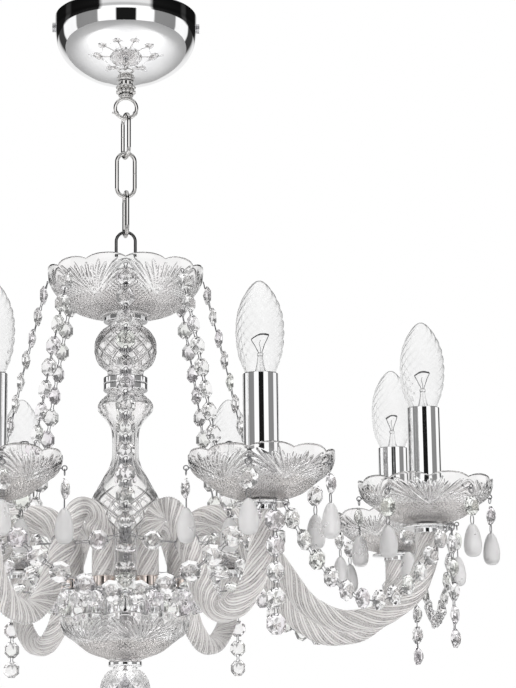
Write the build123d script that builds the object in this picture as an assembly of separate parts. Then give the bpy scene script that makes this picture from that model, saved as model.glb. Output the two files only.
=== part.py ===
from build123d import *
import os
import math

# Eight-light crystal chandelier on a short chain.
# Frame: origin on the ceiling plane at the middle of the ceiling bracket, +Z up,
# -Y is the viewed side. All lengths in millimetres.
# Azimuth t is measured from -Y towards +X: a point at radius r lies at
# (r sin t, -r cos t). Arms stand at 22.5, 67.5, ... degrees; the crystal strings
# hang between them at 0, 45, ... degrees.

# ------------------------------------------------------------------ dimensions
N_ARMS = 8
ARM_STEP = 360.0 / N_ARMS
ARM_FIRST = 22.5
CANDLE_R = 250.6          # radius of the circle through the candle axes

# ceiling fixing
BAR_L, BAR_W, BAR_T = 100.0, 20.0, 2.0
BAR_HOLE_SPACING = 70.0
BAR_HOLE_R = 2.6
TAB_DROP = 16.0
SIDE_SCREW_Z = -9.0
SIDE_SCREW_R = 1.95
CUP_R = 60.0
CUP_WALL = 1.2
CUP_BOTTOM_Z = -57.0
COLLAR_TOP_Z, COLLAR_BOT_Z, COLLAR_R = -57.0, -70.0, 8.5
SHANK_R = 4.0
BUSH_POS_R = 20.0

# chain
RING_WIRE, RING_MAJOR = 1.5, 9.0
RING_BOTTOM_Z = -91.05
LINK_WIRE = 1.7
LINK_W, LINK_H = 18.3, 41.2
CHAIN_GAP = 0.25
LINK_TWIST = (20.0, 10.0)    # degrees by which the first and third link are turned about the chain
LINK1_TOP_Z = RING_BOTTOM_Z + 2 * RING_WIRE + 2 * LINK_WIRE + CHAIN_GAP
LINK_PITCH = LINK_H - 4 * LINK_WIRE - CHAIN_GAP
BAIL_WIRE, BAIL_MAJOR = 1.3, 7.95

# stem
ROD_R, ROD_BORE = 5.0, 3.5
ROD_TOP_Z, ROD_BOT_Z = -224.0, -596.0
GLASS_BORE = 5.2
NUT_TOP_Z, NUT_BOT_Z, NUT_R = -222.0, -235.0, 11.0
DISH_RIM_Z, DISH_BASE_Z, DISH_R = -222.0, -260.6, 65.3
DISH_SCALLOPS = 12
RING_U_R, RING_U_TOP, RING_U_BOT = 18.4, -260.6, -266.4
BALL_R, BALL_Z, BALL_TOP, BALL_BOT = 25.8, -288.4, -266.4, -312.8
PAIR_R, PAIR_TOP, PAIR_BOT = 18.4, -312.8, -324.2
VASE_TOP, VASE_BOT = -324.2, -475.0

# hub and foot
HUB_TOP = -475.0
FLANGE_TOP, FLANGE_BOT, FLANGE_R = -488.0, -493.0, 58.0
DRUM_R, DRUM_BOT = 31.0, -528.0
COVER_BOT = -531.0
SOCKET_R = 46.0           # radius of the circle through the arm sockets
LOWER_BASE_Z = -543.0
LOW_RING_BOT = -548.0
FOOT_BALL_BOT = -588.0
FINIAL_BOT = -600.0

# arms
ARM_ROD_R, ARM_BORE = 8.8, 4.0
FERRULE_IN, FERRULE_OUT = 8.8, 9.8
FERRULE_TOP = -480.0
ARM_TIP_Z = -450.0
TIP_CUP_Z = -454.0          # lower edge of the shallow cup that takes the arm's end

# arm tip
PLATE_R, PLATE_TOP = 20.0, -448.0
BOBECHE_BASE_Z = -448.0
BOBECHE_RIM_Z = -412.5
BOBECHE_R = 52.5
BOBECHE_SCALLOPS = 10
NIPPLE_R, NIPPLE_BORE = 4.95, 3.0
TUBE_OUT, TUBE_IN = 12.8, 11.8
TUBE_TOP = -356.0
TUBE_FOOT = -445.0
HOLDER_R, HOLDER_TOP, HOLDER_LOW = 11.5, -357.0, -396.0
HOLDER_BORE, HOLDER_FLOOR = 7.1, -384.0
CAP_R, CAP_BOT, CAP_TOP = 7.0, -383.6, -357.0
BULB_TOP = -287.4

# crystals
OCT_D, OCT_T = 14.5, 5.2
OCT_PITCH = 18.3
WIRE_R = 0.45
HANG_R = 53.6             # radius, from the candle axis, where a pendant hangs
PIN_Z = -424.0
EYE_MAJOR, EYE_WIRE = 1.7, 0.45
PENDANT_AT = [36.0, 108.0, 180.0, -108.0, -36.0]   # from the arm's outward direction
DROP_R, DROP_TOP, DROP_BOT = 6.9, -452.0, -477.0
CROSS_R, CROSS_Z = 120.0, -456.0
HOOK_X, HOOK_Z = 19.8, -452.0          # hook on the tip plate, from the candle axis
HOOK_TURN = 30.0                        # garland hooks stand this far either side
COLLAR_AT = (121.0, -461.8)             # wire collar on each arm, (r, z)


# --------------------------------------------------------------------- helpers
def turned(points):
    """A solid of revolution about Z from (radius, z) points."""
    face = Plane.XZ * make_face(Polyline(*points, close=True))
    return revolve(face, Axis.Z)


def smooth(points, n=4):
    """Points of a smooth curve through (r, z) points."""
    out = []
    p = [points[0]] + list(points) + [points[-1]]
    for i in range(1, len(p) - 2):
        for k in range(n):
            t = k / n
            a, b, c, d = p[i - 1], p[i], p[i + 1], p[i + 2]
            out.append(tuple(
                0.5 * ((2 * b[j]) + (c[j] - a[j]) * t
                       + (2 * a[j] - 5 * b[j] + 4 * c[j] - d[j]) * t * t
                       + (3 * b[j] - a[j] - 3 * c[j] + d[j]) * t ** 3)
                for j in range(2)))
    out.append(tuple(points[-1]))
    return out


def cyl(r, z0, z1, x=0.0, y=0.0):
    return Pos(x, y, (z0 + z1) / 2) * Cylinder(r, abs(z1 - z0))


def turn_to(azimuth):
    """Rotation that takes local +X (outward) to the given azimuth."""
    return Rot(0, 0, azimuth - 90.0)


def save(shape, node):
    if isinstance(shape, (list, tuple)):
        solids = []
        for s in shape:
            solids += list(s.solids())
        shape = Compound(children=solids) if len(solids) > 1 else solids[0]
    else:
        solids = list(shape.solids())
        shape = Compound(children=solids) if len(solids) > 1 else solids[0]
    export_step(shape, "parts/" + node + ".step")


def copies(shape, locations):
    out = []
    for loc in locations:
        for s in shape.solids():
            out.append(loc * s)
    return out


ARM_AZ = [ARM_FIRST + ARM_STEP * k for k in range(N_ARMS)]
STRING_AZ = [ARM_STEP * k for k in range(N_ARMS)]
ARM_LOCS = [turn_to(a) for a in ARM_AZ]

# --------------------------------------------------------------- ceiling fixing
bar = Pos(0, 0, -BAR_T / 2) * Box(BAR_L, BAR_W, BAR_T)
for sx in (-1, 1):
    bar += Pos(sx * (BAR_L / 2 - BAR_T / 2), 0, -TAB_DROP / 2) * Box(BAR_T, BAR_W, TAB_DROP)
    bar -= Pos(sx * BAR_HOLE_SPACING / 2, 0, -BAR_T / 2) * Cylinder(BAR_HOLE_R, 10)
    bar -= Pos(sx * BAR_L / 2, 0, SIDE_SCREW_Z) * Rot(0, 90, 0) * Cylinder(SIDE_SCREW_R, 12)
save(bar, "ceiling_bracket")

cup_out = [(CUP_R, 0), (CUP_R, -15), (57.5, -26), (51, -37), (41, -46), (28, -53), (14, -56.4), (9, CUP_BOTTOM_Z)]
cup_in = [(r - CUP_WALL if r > 50 else r, z + (CUP_WALL if z < -40 else CUP_WALL * 0.6 if z < -20 else 0))
          for r, z in cup_out]
prof = cup_out + [(SHANK_R + 0.05, CUP_BOTTOM_Z), (SHANK_R + 0.05, CUP_BOTTOM_Z + CUP_WALL)] + cup_in[::-1]
cup = turned(prof)
for sx in (-1, 1):
    cup -= Pos(sx * CUP_R, 0, SIDE_SCREW_Z) * Rot(0, 90, 0) * Cylinder(2.1, 8)
cup -= cyl(3.45, -70, -40, 0, BUSH_POS_R)
save(cup, "canopy_cup")

screws = []
for sx in (-1, 1):
    shaft = Pos(sx * (47.0 + 60.0) / 2, 0, SIDE_SCREW_Z) * Rot(0, 90, 0) * Cylinder(SIDE_SCREW_R, 13.0 + 0.02)
    head = Pos(sx * (60.0 + 62.4) / 2, 0, SIDE_SCREW_Z) * Rot(0, 90, 0) * Cylinder(4.0, 2.4)
    slot = Pos(sx * 62.4, 0, SIDE_SCREW_Z) * Box(1.2, 0.9, 9)
    screws.append(shaft + head - slot)
save(screws, "canopy_side_screws")

collar = turned([(SHANK_R + 0.05, COLLAR_TOP_Z), (6.6, COLLAR_TOP_Z), (6.6, COLLAR_BOT_Z), (SHANK_R + 0.05, COLLAR_BOT_Z)])
for zc in (-62.3, -66.4):
    collar += Pos(0, 0, zc) * Torus(6.4, 2.0)
save(collar, "canopy_collar")

ring_c = RING_BOTTOM_Z + RING_MAJOR + RING_WIRE
ring = Pos(0, 0, ring_c) * Rot(90, 0, 0) * Torus(RING_MAJOR, RING_WIRE)
ring += cyl(SHANK_R, -71.4, -50.0)
save(ring, "hanging_ring")

hexnut = Pos(0, 0, -55.8) * extrude(RegularPolygon(8.1, 6), 4.6) - cyl(SHANK_R, -60, -45)
save(hexnut, "ring_nut")

block = Pos(0, -0.5, -BAR_T - 6.0) * Box(26, 15, 12)
for sx in (-1, 1):
    block -= Pos(sx * 6.5, 0, -BAR_T - 8.5) * Rot(90, 0, 0) * Cylinder(2.0, 40)
save(block, "terminal_block")

bush = cyl(3.45, -59.0, -49.0, 0, BUSH_POS_R) - cyl(2.0, -70, -40, 0, BUSH_POS_R)
save(bush, "cord_bush")


# ------------------------------------------------------------------------ chain
def link(wire, width, height):
    """Oval link in the XZ plane, its top outer point at z = 0."""
    rc = width / 2 - wire
    straight = height - 2 * wire - 2 * rc
    zt = -wire - rc
    zb = zt - straight
    ring_ = Rot(90, 0, 0) * Torus(rc, wire)
    upper = Pos(0, 0, zt) * (ring_ & Pos(0, 0, 50) * Box(100, 100, 100))
    lower = Pos(0, 0, zb) * (ring_ & Pos(0, 0, -50) * Box(100, 100, 100))
    body = upper + lower
    for sx in (-1, 1):
        body += cyl(wire, zb, zt, sx * rc, 0)
    return body


one = link(LINK_WIRE, LINK_W, LINK_H)
tops = [LINK1_TOP_Z - LINK_PITCH * k for k in range(3)]
save(Pos(0, 0, tops[0]) * Rot(0, 0, 90 + LINK_TWIST[0]) * one, "link_1")
save(Pos(0, 0, tops[1]) * one, "link_2")
save(Pos(0, 0, tops[2]) * Rot(0, 0, 90 + LINK_TWIST[1]) * one, "link_3")
BAIL_TOP = tops[2] - LINK_H + 2 * LINK_WIRE + 2 * BAIL_WIRE + CHAIN_GAP
bail_c = BAIL_TOP - BAIL_WIRE - BAIL_MAJOR
bail = Pos(0, 0, bail_c) * ((Rot(90, 0, 0) * Torus(BAIL_MAJOR, BAIL_WIRE)) & Pos(0, 0, 50) * Box(100, 100, 100))
for sx in (-1, 1):
    bail += cyl(BAIL_WIRE, -230.0, bail_c, sx * BAIL_MAJOR, 0)
save(bail, "bail")

# ------------------------------------------------------------------------- stem
nut = turned([(ROD_R, NUT_TOP_Z), (8.5, NUT_TOP_Z), (NUT_R, NUT_TOP_Z - 2.5), (NUT_R, NUT_BOT_Z + 2.5),
              (9.0, NUT_BOT_Z), (ROD_R, NUT_BOT_Z)])
for sx in (-1, 1):
    nut -= cyl(BAIL_WIRE, -230.0, -210.0, sx * BAIL_MAJOR, 0)
save(nut, "bail_nut")

rod = cyl(ROD_R, ROD_BOT_Z, ROD_TOP_Z) - cyl(ROD_BORE, ROD_BOT_Z + 8.0, ROD_TOP_Z + 1)
# side windows for the leads, inside the wiring drum
rod -= Pos(0, 0, -515.0) * Rot(90, 0, 0) * Cylinder(2.2, 30)
save(rod, "centre_rod")

dome_out = [(GLASS_BORE, -235.0), (12.0, -236.5), (18.0, -241.5), (21.4, -249.0), (22.0, -257.0)]
dome_in = [(20.0, -257.0), (19.4, -250.0), (16.6, -243.6), (11.0, -239.2), (GLASS_BORE, -238.0)]
save(turned(dome_out + dome_in), "glass_dome")


def bowl(profile, wall, rim_z, base_z, bore, scallops, first_valley):
    """Scalloped glass bowl from its outer (r, z) profile, rim first."""
    outer = list(profile)
    floor_z = base_z + wall + 0.4
    inner = []
    for i, (r, z) in enumerate(outer):
        if i == 0:
            inner.append((r - wall, z))
            continue
        (r0, z0), (r1, z1) = outer[i - 1], outer[min(i + 1, len(outer) - 1)]
        dx, dz = r1 - r0, z1 - z0
        n = math.hypot(dx, dz)
        q = (r + dz / n * wall, z - dx / n * wall)
        if q[1] > floor_z + 0.3 and q[0] > bore + 2.0:
            inner.append(q)
    pts = outer + [(bore, base_z), (bore, floor_z), (inner[-1][0] - 3.0, floor_z)] + inner[::-1]
    body = turned(pts)
    rmax = outer[0][0]
    half = 2 * math.pi * rmax / scallops / 2
    depth, rad = 3.0, 10.0
    for k in range(scallops // 2):
        ang = first_valley + 360.0 / scallops * k
        body -= Rot(0, 0, ang) * (Pos(0, 0, rim_z + rad - depth) * Rot(0, 90, 0) * Cylinder(rad, 3 * rmax))
    return body


dish_prof = [(DISH_R, DISH_RIM_Z), (64.8, -227.0), (63.4, -232.0), (60.6, -238.0), (56.8, -243.2),
             (52.3, -247.4), (47.6, -251.8), (42.0, -255.8), (34.0, -258.6), (26.0, -259.9), (18.0, DISH_BASE_Z)]
top_dish = bowl(dish_prof, 2.4, DISH_RIM_Z, DISH_BASE_Z, GLASS_BORE, DISH_SCALLOPS, 0.0)
for a in STRING_AZ:
    top_dish -= turn_to(a) * (Pos(62.0, 0, -231.5) * Rot(0, 90, 0) * Cylinder(0.6, 14))
save(top_dish, "top_dish")

save(turned([(ROD_R + 0.05, RING_U_TOP), (17.8, RING_U_TOP), (RING_U_R, RING_U_TOP - 0.6), (RING_U_R, RING_U_BOT + 0.6),
             (17.8, RING_U_BOT), (ROD_R + 0.05, RING_U_BOT)]), "upper_ring")

ball_pts = [(GLASS_BORE, BALL_TOP), (14.9, BALL_TOP), (14.9, -270.6)]
ball_pts += smooth([(17.0, -271.2), (21.6, -275.4), (24.9, -281.6), (BALL_R, BALL_Z), (25.1, -295.0), (22.2, -301.2),
                    (17.8, -305.6)], 3)
ball_pts += [(14.9, -307.0), (14.7, BALL_BOT), (GLASS_BORE, BALL_BOT)]
ball_in = [(0, -269.4), (GLASS_BORE, -269.4)]
ball_in += smooth([(12.8, -272.6), (18.8, -277.0), (22.0, -282.6), (BALL_R - 2.9, BALL_Z), (22.2, -294.4), (19.4, -299.6), (14.4, -303.8)], 3)
ball_in += [(12.0, -306.4), (11.6, BALL_BOT + 2.4), (0, BALL_BOT + 2.4)]
save(turned(ball_pts) - turned(ball_in), "glass_ball")

mid = (PAIR_TOP + PAIR_BOT) / 2
pair = []
for z0, z1 in ((PAIR_TOP, mid + 0.0), (mid - 0.0, PAIR_BOT)):
    pair.append(turned([(ROD_R + 0.05, z0), (17.8, z0), (PAIR_R, z0 - 0.6), (PAIR_R, z1 + 0.6), (17.8, z1), (ROD_R + 0.05, z1)]))
save(pair, "ring_pair")

vase_pts = [(GLASS_BORE, VASE_TOP), (15.2, VASE_TOP)]
vase_pts += smooth([(15.4, -327.4), (19.2, -330.8), (22.4, -334.8), (22.8, -339.4), (19.7, -343.8), (15.3, -349.0), (12.4, -354.6),
                    (11.2, -362.0), (11.1, -377.0), (12.4, -384.0), (15.5, -391.0), (22.5, -404.0), (26.3, -410.5),
                    (26.9, -415.0), (24.6, -420.5), (17.5, -431.0), (11.0, -441.5), (9.4, -450.0), (9.4, -462.0),
                    (10.4, VASE_BOT)], 2)
vase_pts += [(GLASS_BORE, VASE_BOT)]
vase_in = [(0, -327.2), (GLASS_BORE, -327.2)]
vase_in += smooth([(11.6, -329.4), (16.6, -332.4), (19.5, -336.8), (17.0, -341.8), (12.2, -347.4), (9.2, -354.6), (8.1, -362.0), (8.1, -377.0),
                   (9.5, -385.0), (12.6, -392.4), (19.4, -405.2), (23.2, -411.4), (23.8, -415.0), (22.0, -419.2), (14.8, -430.0),
                   (8.4, -440.6), (6.8, -450.0), (6.6, -462.0)], 2)
vase_in += [(6.6, VASE_BOT + 2.6), (0, VASE_BOT + 2.6)]
save(turned(vase_pts) - turned(vase_in), "glass_column")

hub = turned([(ROD_R + 0.05, HUB_TOP), (11.0, HUB_TOP), (13.0, -477.4), (21.0, -482.0), (26.0, FLANGE_TOP), (FLANGE_R - 1, FLANGE_TOP),
              (FLANGE_R, FLANGE_TOP - 1), (FLANGE_R, FLANGE_BOT), (DRUM_R, FLANGE_BOT), (DRUM_R, DRUM_BOT), (DRUM_R - 2, DRUM_BOT),
              (DRUM_R - 2, -491.0), (ROD_R + 0.05, -491.0)])
for loc in ARM_LOCS:
    hub -= loc * cyl(3.0, -500, -480, SOCKET_R, 0)
save(hub, "hub_body")

save(turned([(ROD_R + 0.05, DRUM_BOT), (DRUM_R - 2.0, DRUM_BOT), (DRUM_R, DRUM_BOT), (DRUM_R, -529.6), (DRUM_R - 3, COVER_BOT),
             (ROD_R + 0.05, COVER_BOT)]), "hub_cover")

ferrule = cyl(FERRULE_OUT, FLANGE_TOP, FERRULE_TOP, SOCKET_R, 0) - cyl(FERRULE_IN, FLANGE_TOP + 1.0, FERRULE_TOP + 1, SOCKET_R, 0) \
    - cyl(3.0, FLANGE_TOP - 1, FERRULE_TOP, SOCKET_R, 0)
save(copies(ferrule, ARM_LOCS), "arm_ferrules")

# bowl shared by the arm tips and the foot: outer profile as height above its base
BOWL_UP = [(52.5, 35.5), (52.2, 31.0), (51.2, 26.5), (49.4, 22.6), (46.4, 19.4), (42.5, 16.6), (38.6, 13.6), (34.6, 10.4),
           (30.0, 7.0), (24.0, 4.4), (17.0, 2.4), (12.0, 0.0)]
lower = bowl([(r, LOWER_BASE_Z + h) for r, h in BOWL_UP], 2.6, LOWER_BASE_Z + 35.5, LOWER_BASE_Z, GLASS_BORE,
             BOBECHE_SCALLOPS, 18.0)
save(lower, "lower_dish")

save(turned([(ROD_R + 0.05, LOWER_BASE_Z), (12.6, LOWER_BASE_Z), (13.6, LOWER_BASE_Z - 1.2), (13.6, LOW_RING_BOT + 1.2),
             (12.6, LOW_RING_BOT), (ROD_R + 0.05, LOW_RING_BOT)]), "lower_ring")
foot_pts = [(GLASS_BORE, LOW_RING_BOT), (9.5, LOW_RING_BOT)]
foot_pts += smooth([(10.0, -549.4), (15.6, -553.4), (19.2, -560.0), (20.0, -567.5), (18.6, -575.0), (14.6, -581.6),
                    (9.6, -585.6)], 3)
foot_pts += [(8.6, FOOT_BALL_BOT), (GLASS_BORE, FOOT_BALL_BOT)]
save(turned(foot_pts), "foot_ball")
save(turned([(ROD_R, FOOT_BALL_BOT), (8.0, FOOT_BALL_BOT), (9.0, -590.0), (8.0, -592.6), (5.6, -595.0), (6.0, -597.0),
             (4.4, -599.4), (1.5, FINIAL_BOT), (0, FINIAL_BOT), (0, ROD_BOT_Z), (ROD_R, ROD_BOT_Z)]), "finial_nut")

# ------------------------------------------------------------------------- arms
# centre line in the (r, z) plane: straight runs joined by tangent arcs
ARM_ROUTE = [(46.0, -487.0), (46.0, -449.0), (66.0, -430.6), (95.0, -430.6), (127.0, -469.0), (152.0, -505.0), (180.0, -520.0),
             (214.0, -516.0), (240.0, -499.0), (CANDLE_R, -473.0), (CANDLE_R, ARM_TIP_Z)]
ARM_RADII = [19.0, 22.0, 26.0, 90.0, 45.0, 40.0, 40.0, 34.0, 30.0]


def arm_path():
    return Plane.XZ * FilletPolyline(*ARM_ROUTE, radius=ARM_RADII)


path = arm_path()
start = Plane(origin=(ARM_ROUTE[0][0], 0, ARM_ROUTE[0][1]), z_dir=(0, 0, 1))
arm = sweep(start * Circle(ARM_ROD_R), path=path) - sweep(start * Circle(ARM_BORE), path=path)
for k, loc in enumerate(ARM_LOCS):
    save(loc * arm, "glass_arm_%d" % (k + 1))

# --------------------------------------------------------------------- arm tips
X = CANDLE_R
AT_TIP = Pos(X, 0, 0)
tip_plate = turned([(NIPPLE_R, ARM_TIP_Z), (NIPPLE_R, PLATE_TOP), (PLATE_R - 0.8, PLATE_TOP), (PLATE_R, PLATE_TOP - 1.2), (PLATE_R, ARM_TIP_Z),
                    (FERRULE_OUT, ARM_TIP_Z), (FERRULE_OUT, TIP_CUP_Z), (FERRULE_IN, TIP_CUP_Z), (FERRULE_IN, ARM_TIP_Z)])
for b in (-HOOK_TURN, 0.0, HOOK_TURN):
    tip_plate -= Rot(0, 0, b) * Pos(HOOK_X - 2.3, 0, PLATE_TOP - 1) * Cylinder(0.75, 10)
save(copies(AT_TIP * tip_plate, ARM_LOCS), "tip_plates")

bobeche = bowl([(r, BOBECHE_BASE_Z + h) for r, h in BOWL_UP], 2.6, BOBECHE_RIM_Z, BOBECHE_BASE_Z, GLASS_BORE,
               BOBECHE_SCALLOPS, 0.0 + 360.0 / BOBECHE_SCALLOPS)
for a in PENDANT_AT:
    bobeche -= Rot(0, 0, a) * (Pos(50, 0, PIN_Z) * Rot(0, 90, 0) * Cylinder(0.6, 14))
save(copies(AT_TIP * bobeche, ARM_LOCS), "bobeches")

nipple = cyl(NIPPLE_R, ARM_TIP_Z, -432.0) - cyl(NIPPLE_BORE, -460, -430)
save(copies(AT_TIP * nipple, ARM_LOCS), "tip_nipples")

tube = cyl(TUBE_OUT, TUBE_FOOT, TUBE_TOP) - cyl(TUBE_IN, TUBE_FOOT - 1, TUBE_TOP + 1)
save(copies(AT_TIP * tube, ARM_LOCS), "candle_tubes")

holder = turned([(NIPPLE_R, TUBE_FOOT), (8.0, TUBE_FOOT), (8.0, -434.0), (6.6, -432.0), (6.6, -400.0), (HOLDER_R, HOLDER_LOW),
                 (HOLDER_R, HOLDER_TOP), (HOLDER_BORE, HOLDER_TOP), (HOLDER_BORE, HOLDER_FLOOR), (1.5, HOLDER_FLOOR),
                 (1.5, -392.0), (NIPPLE_R, -400.0)])
save(copies(AT_TIP * holder, ARM_LOCS), "lamp_holders")

env = [(7.0, CAP_TOP), (7.2, -356.6), (9.6, -356.0), (11.0, -354.6), (11.3, -353.6), (12.6, -351.6), (14.8, -346.0), (16.5, -338.6),
       (17.4, -330.0), (17.5, -322.0), (16.4, -313.0),
       (13.6, -304.0), (9.6, -296.0), (5.2, -290.4), (2.4, -288.2), (0.0, BULB_TOP)]
env_in = [(0.0, BULB_TOP - 1.0), (2.0, -289.4), (4.6, -291.4), (8.8, -297.0), (12.8, -305.0), (15.5, -313.6), (16.6, -322.0),
          (16.5, -330.0), (15.6, -338.3), (13.9, -345.7), (11.8, -351.0), (10.4, -353.4), (10.1, -354.2), (9.0, -355.2), (6.4, -355.7),
          (6.2, CAP_TOP)]
glass = turned(env + env_in)
cap = turned([(0, CAP_TOP), (CAP_R, CAP_TOP), (CAP_R, -379.0), (4.0, CAP_BOT + 1.6), (3.0, CAP_BOT), (0, CAP_BOT)])
bulb = [AT_TIP * glass, AT_TIP * cap]
for k, loc in enumerate(ARM_LOCS):
    save([loc * b for b in bulb], "bulb_%d" % (k + 1))


# --------------------------------------------------------------------- crystals
def octagon(d, t):
    """Cut octagon: flats at +-d/2 along X and Y, table faces along +-Z."""
    r = d / 2 / math.cos(math.radians(22.5))
    base = Rot(0, 0, 22.5) * RegularPolygon(r, 8)
    up = extrude(base, t / 2, taper=42)
    return up + mirror(up, Plane.XY)


OCT = octagon(OCT_D, OCT_T)


def torus_at(x, y, z, major, wire, normal):
    return Plane(origin=(x, y, z), z_dir=normal) * Torus(major, wire)


# pendant in the local frame of its own pin: +X outward from the candle axis
EYE_Z = PIN_Z
top_ring_z = EYE_Z - EYE_MAJOR - 2.2 + 2 * EYE_WIRE + 0.12 - 0.0
oct_c = -438.6
link_ring_z = -448.9
drop_prof = smooth([(0.0, DROP_TOP), (1.9, DROP_TOP - 0.9), (3.5, DROP_TOP - 2.8), (5.1, DROP_TOP - 6.4), (6.3, DROP_TOP - 11.4),
                    (DROP_R, DROP_TOP - 16.6), (6.2, DROP_TOP - 21.4), (3.5, DROP_BOT + 0.6), (0.0, DROP_BOT)], 3)
drop = turned(drop_prof + [(0.0, -465.0)])
top_ring = torus_at(0, 0, top_ring_z, 2.2, 0.4, (1, 0, 0))
low_ring = torus_at(0, 0, link_ring_z, 3.9, 0.4, (1, 0, 0))
crystal = Pos(0, 0, oct_c) * Rot(0, 90, 0) * octagon(14.0, 5.0)
crystal = crystal - torus_at(0, 0, top_ring_z, 2.2, 0.42, (1, 0, 0)) - torus_at(0, 0, link_ring_z, 3.9, 0.42, (1, 0, 0))
drop = drop - torus_at(0, 0, link_ring_z, 3.9, 0.42, (1, 0, 0))
upper_wire = Pos(0, 0, (top_ring_z - 2.6 + oct_c + 7.0) / 2) * Cylinder(0.4, max(0.2, top_ring_z - 2.6 - oct_c - 7.0 - 0.1))
pendant_solids = [top_ring, crystal, low_ring, drop]

eye = torus_at(HANG_R, 0, EYE_Z, EYE_MAJOR, EYE_WIRE, (0, 1, 0))
PIN_IN = 45.4
pin = Pos((PIN_IN + HANG_R - EYE_MAJOR) / 2, 0, EYE_Z) * Rot(0, 90, 0) * Cylinder(0.5, HANG_R - EYE_MAJOR - PIN_IN)
pin_head = Pos(PIN_IN, 0, EYE_Z) * Rot(0, 90, 0) * Cylinder(1.3, 0.8)
hook = eye + pin + pin_head

pins, still = [], []
for k, loc in enumerate(ARM_LOCS):
    for a in PENDANT_AT:
        at = loc * AT_TIP * Rot(0, 0, a)
        pins += copies(hook, [at])
        hung = [at * Pos(HANG_R, 0, 0) * s for s in pendant_solids]
        if a == PENDANT_AT[0]:
            save(hung, "pendant_%d" % (k + 1))
        else:
            still += hung
save(pins, "pendant_pins")
save(still, "pendants_fixed")


# ---------------------------------------------------------------------- strings
def path_points(pts, n=40):
    """Dense points of a smooth curve through 3-D points."""
    out = []
    p = [pts[0]] + list(pts) + [pts[-1]]
    for i in range(1, len(p) - 2):
        for k in range(n):
            t = k / n
            out.append(tuple(
                0.5 * ((2 * p[i][j]) + (p[i + 1][j] - p[i - 1][j]) * t
                       + (2 * p[i - 1][j] - 5 * p[i][j] + 4 * p[i + 1][j] - p[i + 2][j]) * t * t
                       + (3 * p[i][j] - p[i - 1][j] - 3 * p[i + 1][j] + p[i + 2][j]) * t ** 3)
                for j in range(3)))
    out.append(tuple(pts[-1]))
    return out


def along(points, count, lead, tail):
    """count (centre, tangent) pairs spread evenly along the curve."""
    cum = [0.0]
    for a, b in zip(points, points[1:]):
        cum.append(cum[-1] + math.dist(a, b))
    total = cum[-1]
    out = []
    for i in range(count):
        s = lead + (total - lead - tail) * (i / (count - 1) if count > 1 else 0.5)
        j = max(0, min(len(cum) - 2, next((m for m in range(len(cum) - 1) if cum[m + 1] >= s), len(cum) - 2)))
        f = (s - cum[j]) / max(1e-9, cum[j + 1] - cum[j])
        a, b = points[j], points[j + 1]
        c = tuple(a[m] + (b[m] - a[m]) * f for m in range(3))
        t = tuple((b[m] - a[m]) / math.dist(a, b) for m in range(3))
        out.append((c, t))
    return out, total


def string_of(points, count, lead, tail, outward, ends=(True, True)):
    """Octagons strung along a curve, faces turned outward, and the wires between them."""
    places, total = along(points, count, lead, tail)
    crystals, wires = [], []
    knots = []
    for c, t in places:
        n = Vector(*outward)
        t = Vector(*t)
        n = (n - t * n.dot(t)).normalized()
        crystals.append(Plane(origin=c, x_dir=t, z_dir=n) * OCT)
        knots.append((Vector(*c) - t * (OCT_D / 2 + 0.12), Vector(*c) + t * (OCT_D / 2 + 0.12)))
    joins = [(knots[i][1], knots[i + 1][0]) for i in range(len(knots) - 1)]
    if ends[0]:
        joins.insert(0, (Vector(*points[0]), knots[0][0]))
    if ends[1]:
        joins.append((knots[-1][1], Vector(*points[-1])))
    for a, b in joins:
        d = b - a
        if d.length > 0.4:
            wires.append(Plane(origin=(a + b) * 0.5, z_dir=d.normalized()) * Cylinder(WIRE_R, d.length))
    return crystals, wires, total


crystals, wires = [], []
upper_curve = path_points([(64.6, 0, -232.4), (72.0, 0, -262.0), (84.0, 0, -310.0), (95.5, 0, -362.0), (107.0, 0, -410.0),
                           (117.0, 0, -444.0), (CROSS_R, 0, CROSS_Z + 2.2)])
lower_curve = path_points([(CROSS_R, 0, CROSS_Z - 2.2), (108.0, 0, -474.0), (84.0, 0, -486.4), (60.5, 0, -490.0)])
cross_curve = path_points([(CROSS_R, 2.2, CROSS_Z), (118.0, 18.0, CROSS_Z - 4.0), (115.3, 36.9, COLLAR_AT[1])])
lengths = {}
for a in STRING_AZ:
    loc = turn_to(a)
    for name, curve, count, lead, tail in (("upper string", upper_curve, 12, 11.0, 10.5),
                                           ("lower string", lower_curve, 4, 10.0, 9.5),
                                           ("cross string", cross_curve, 1, 2.0, 0.0)):
        c, w, total = string_of(curve, count, lead, tail, (1, 0, 0) if name != "lower string" else (0.3, 0, 0.95))
        lengths[name] = total
        crystals += [loc * s for s in c]
        wires += [loc * s for s in w]
        if name == "cross string":
            crystals += [loc * mirror(s, Plane.XZ) for s in c]
            wires += [loc * mirror(s, Plane.XZ) for s in w]
    wires.append(loc * torus_at(CROSS_R, 0, CROSS_Z, 1.6, 0.4, (1, 0, 0)))

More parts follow.
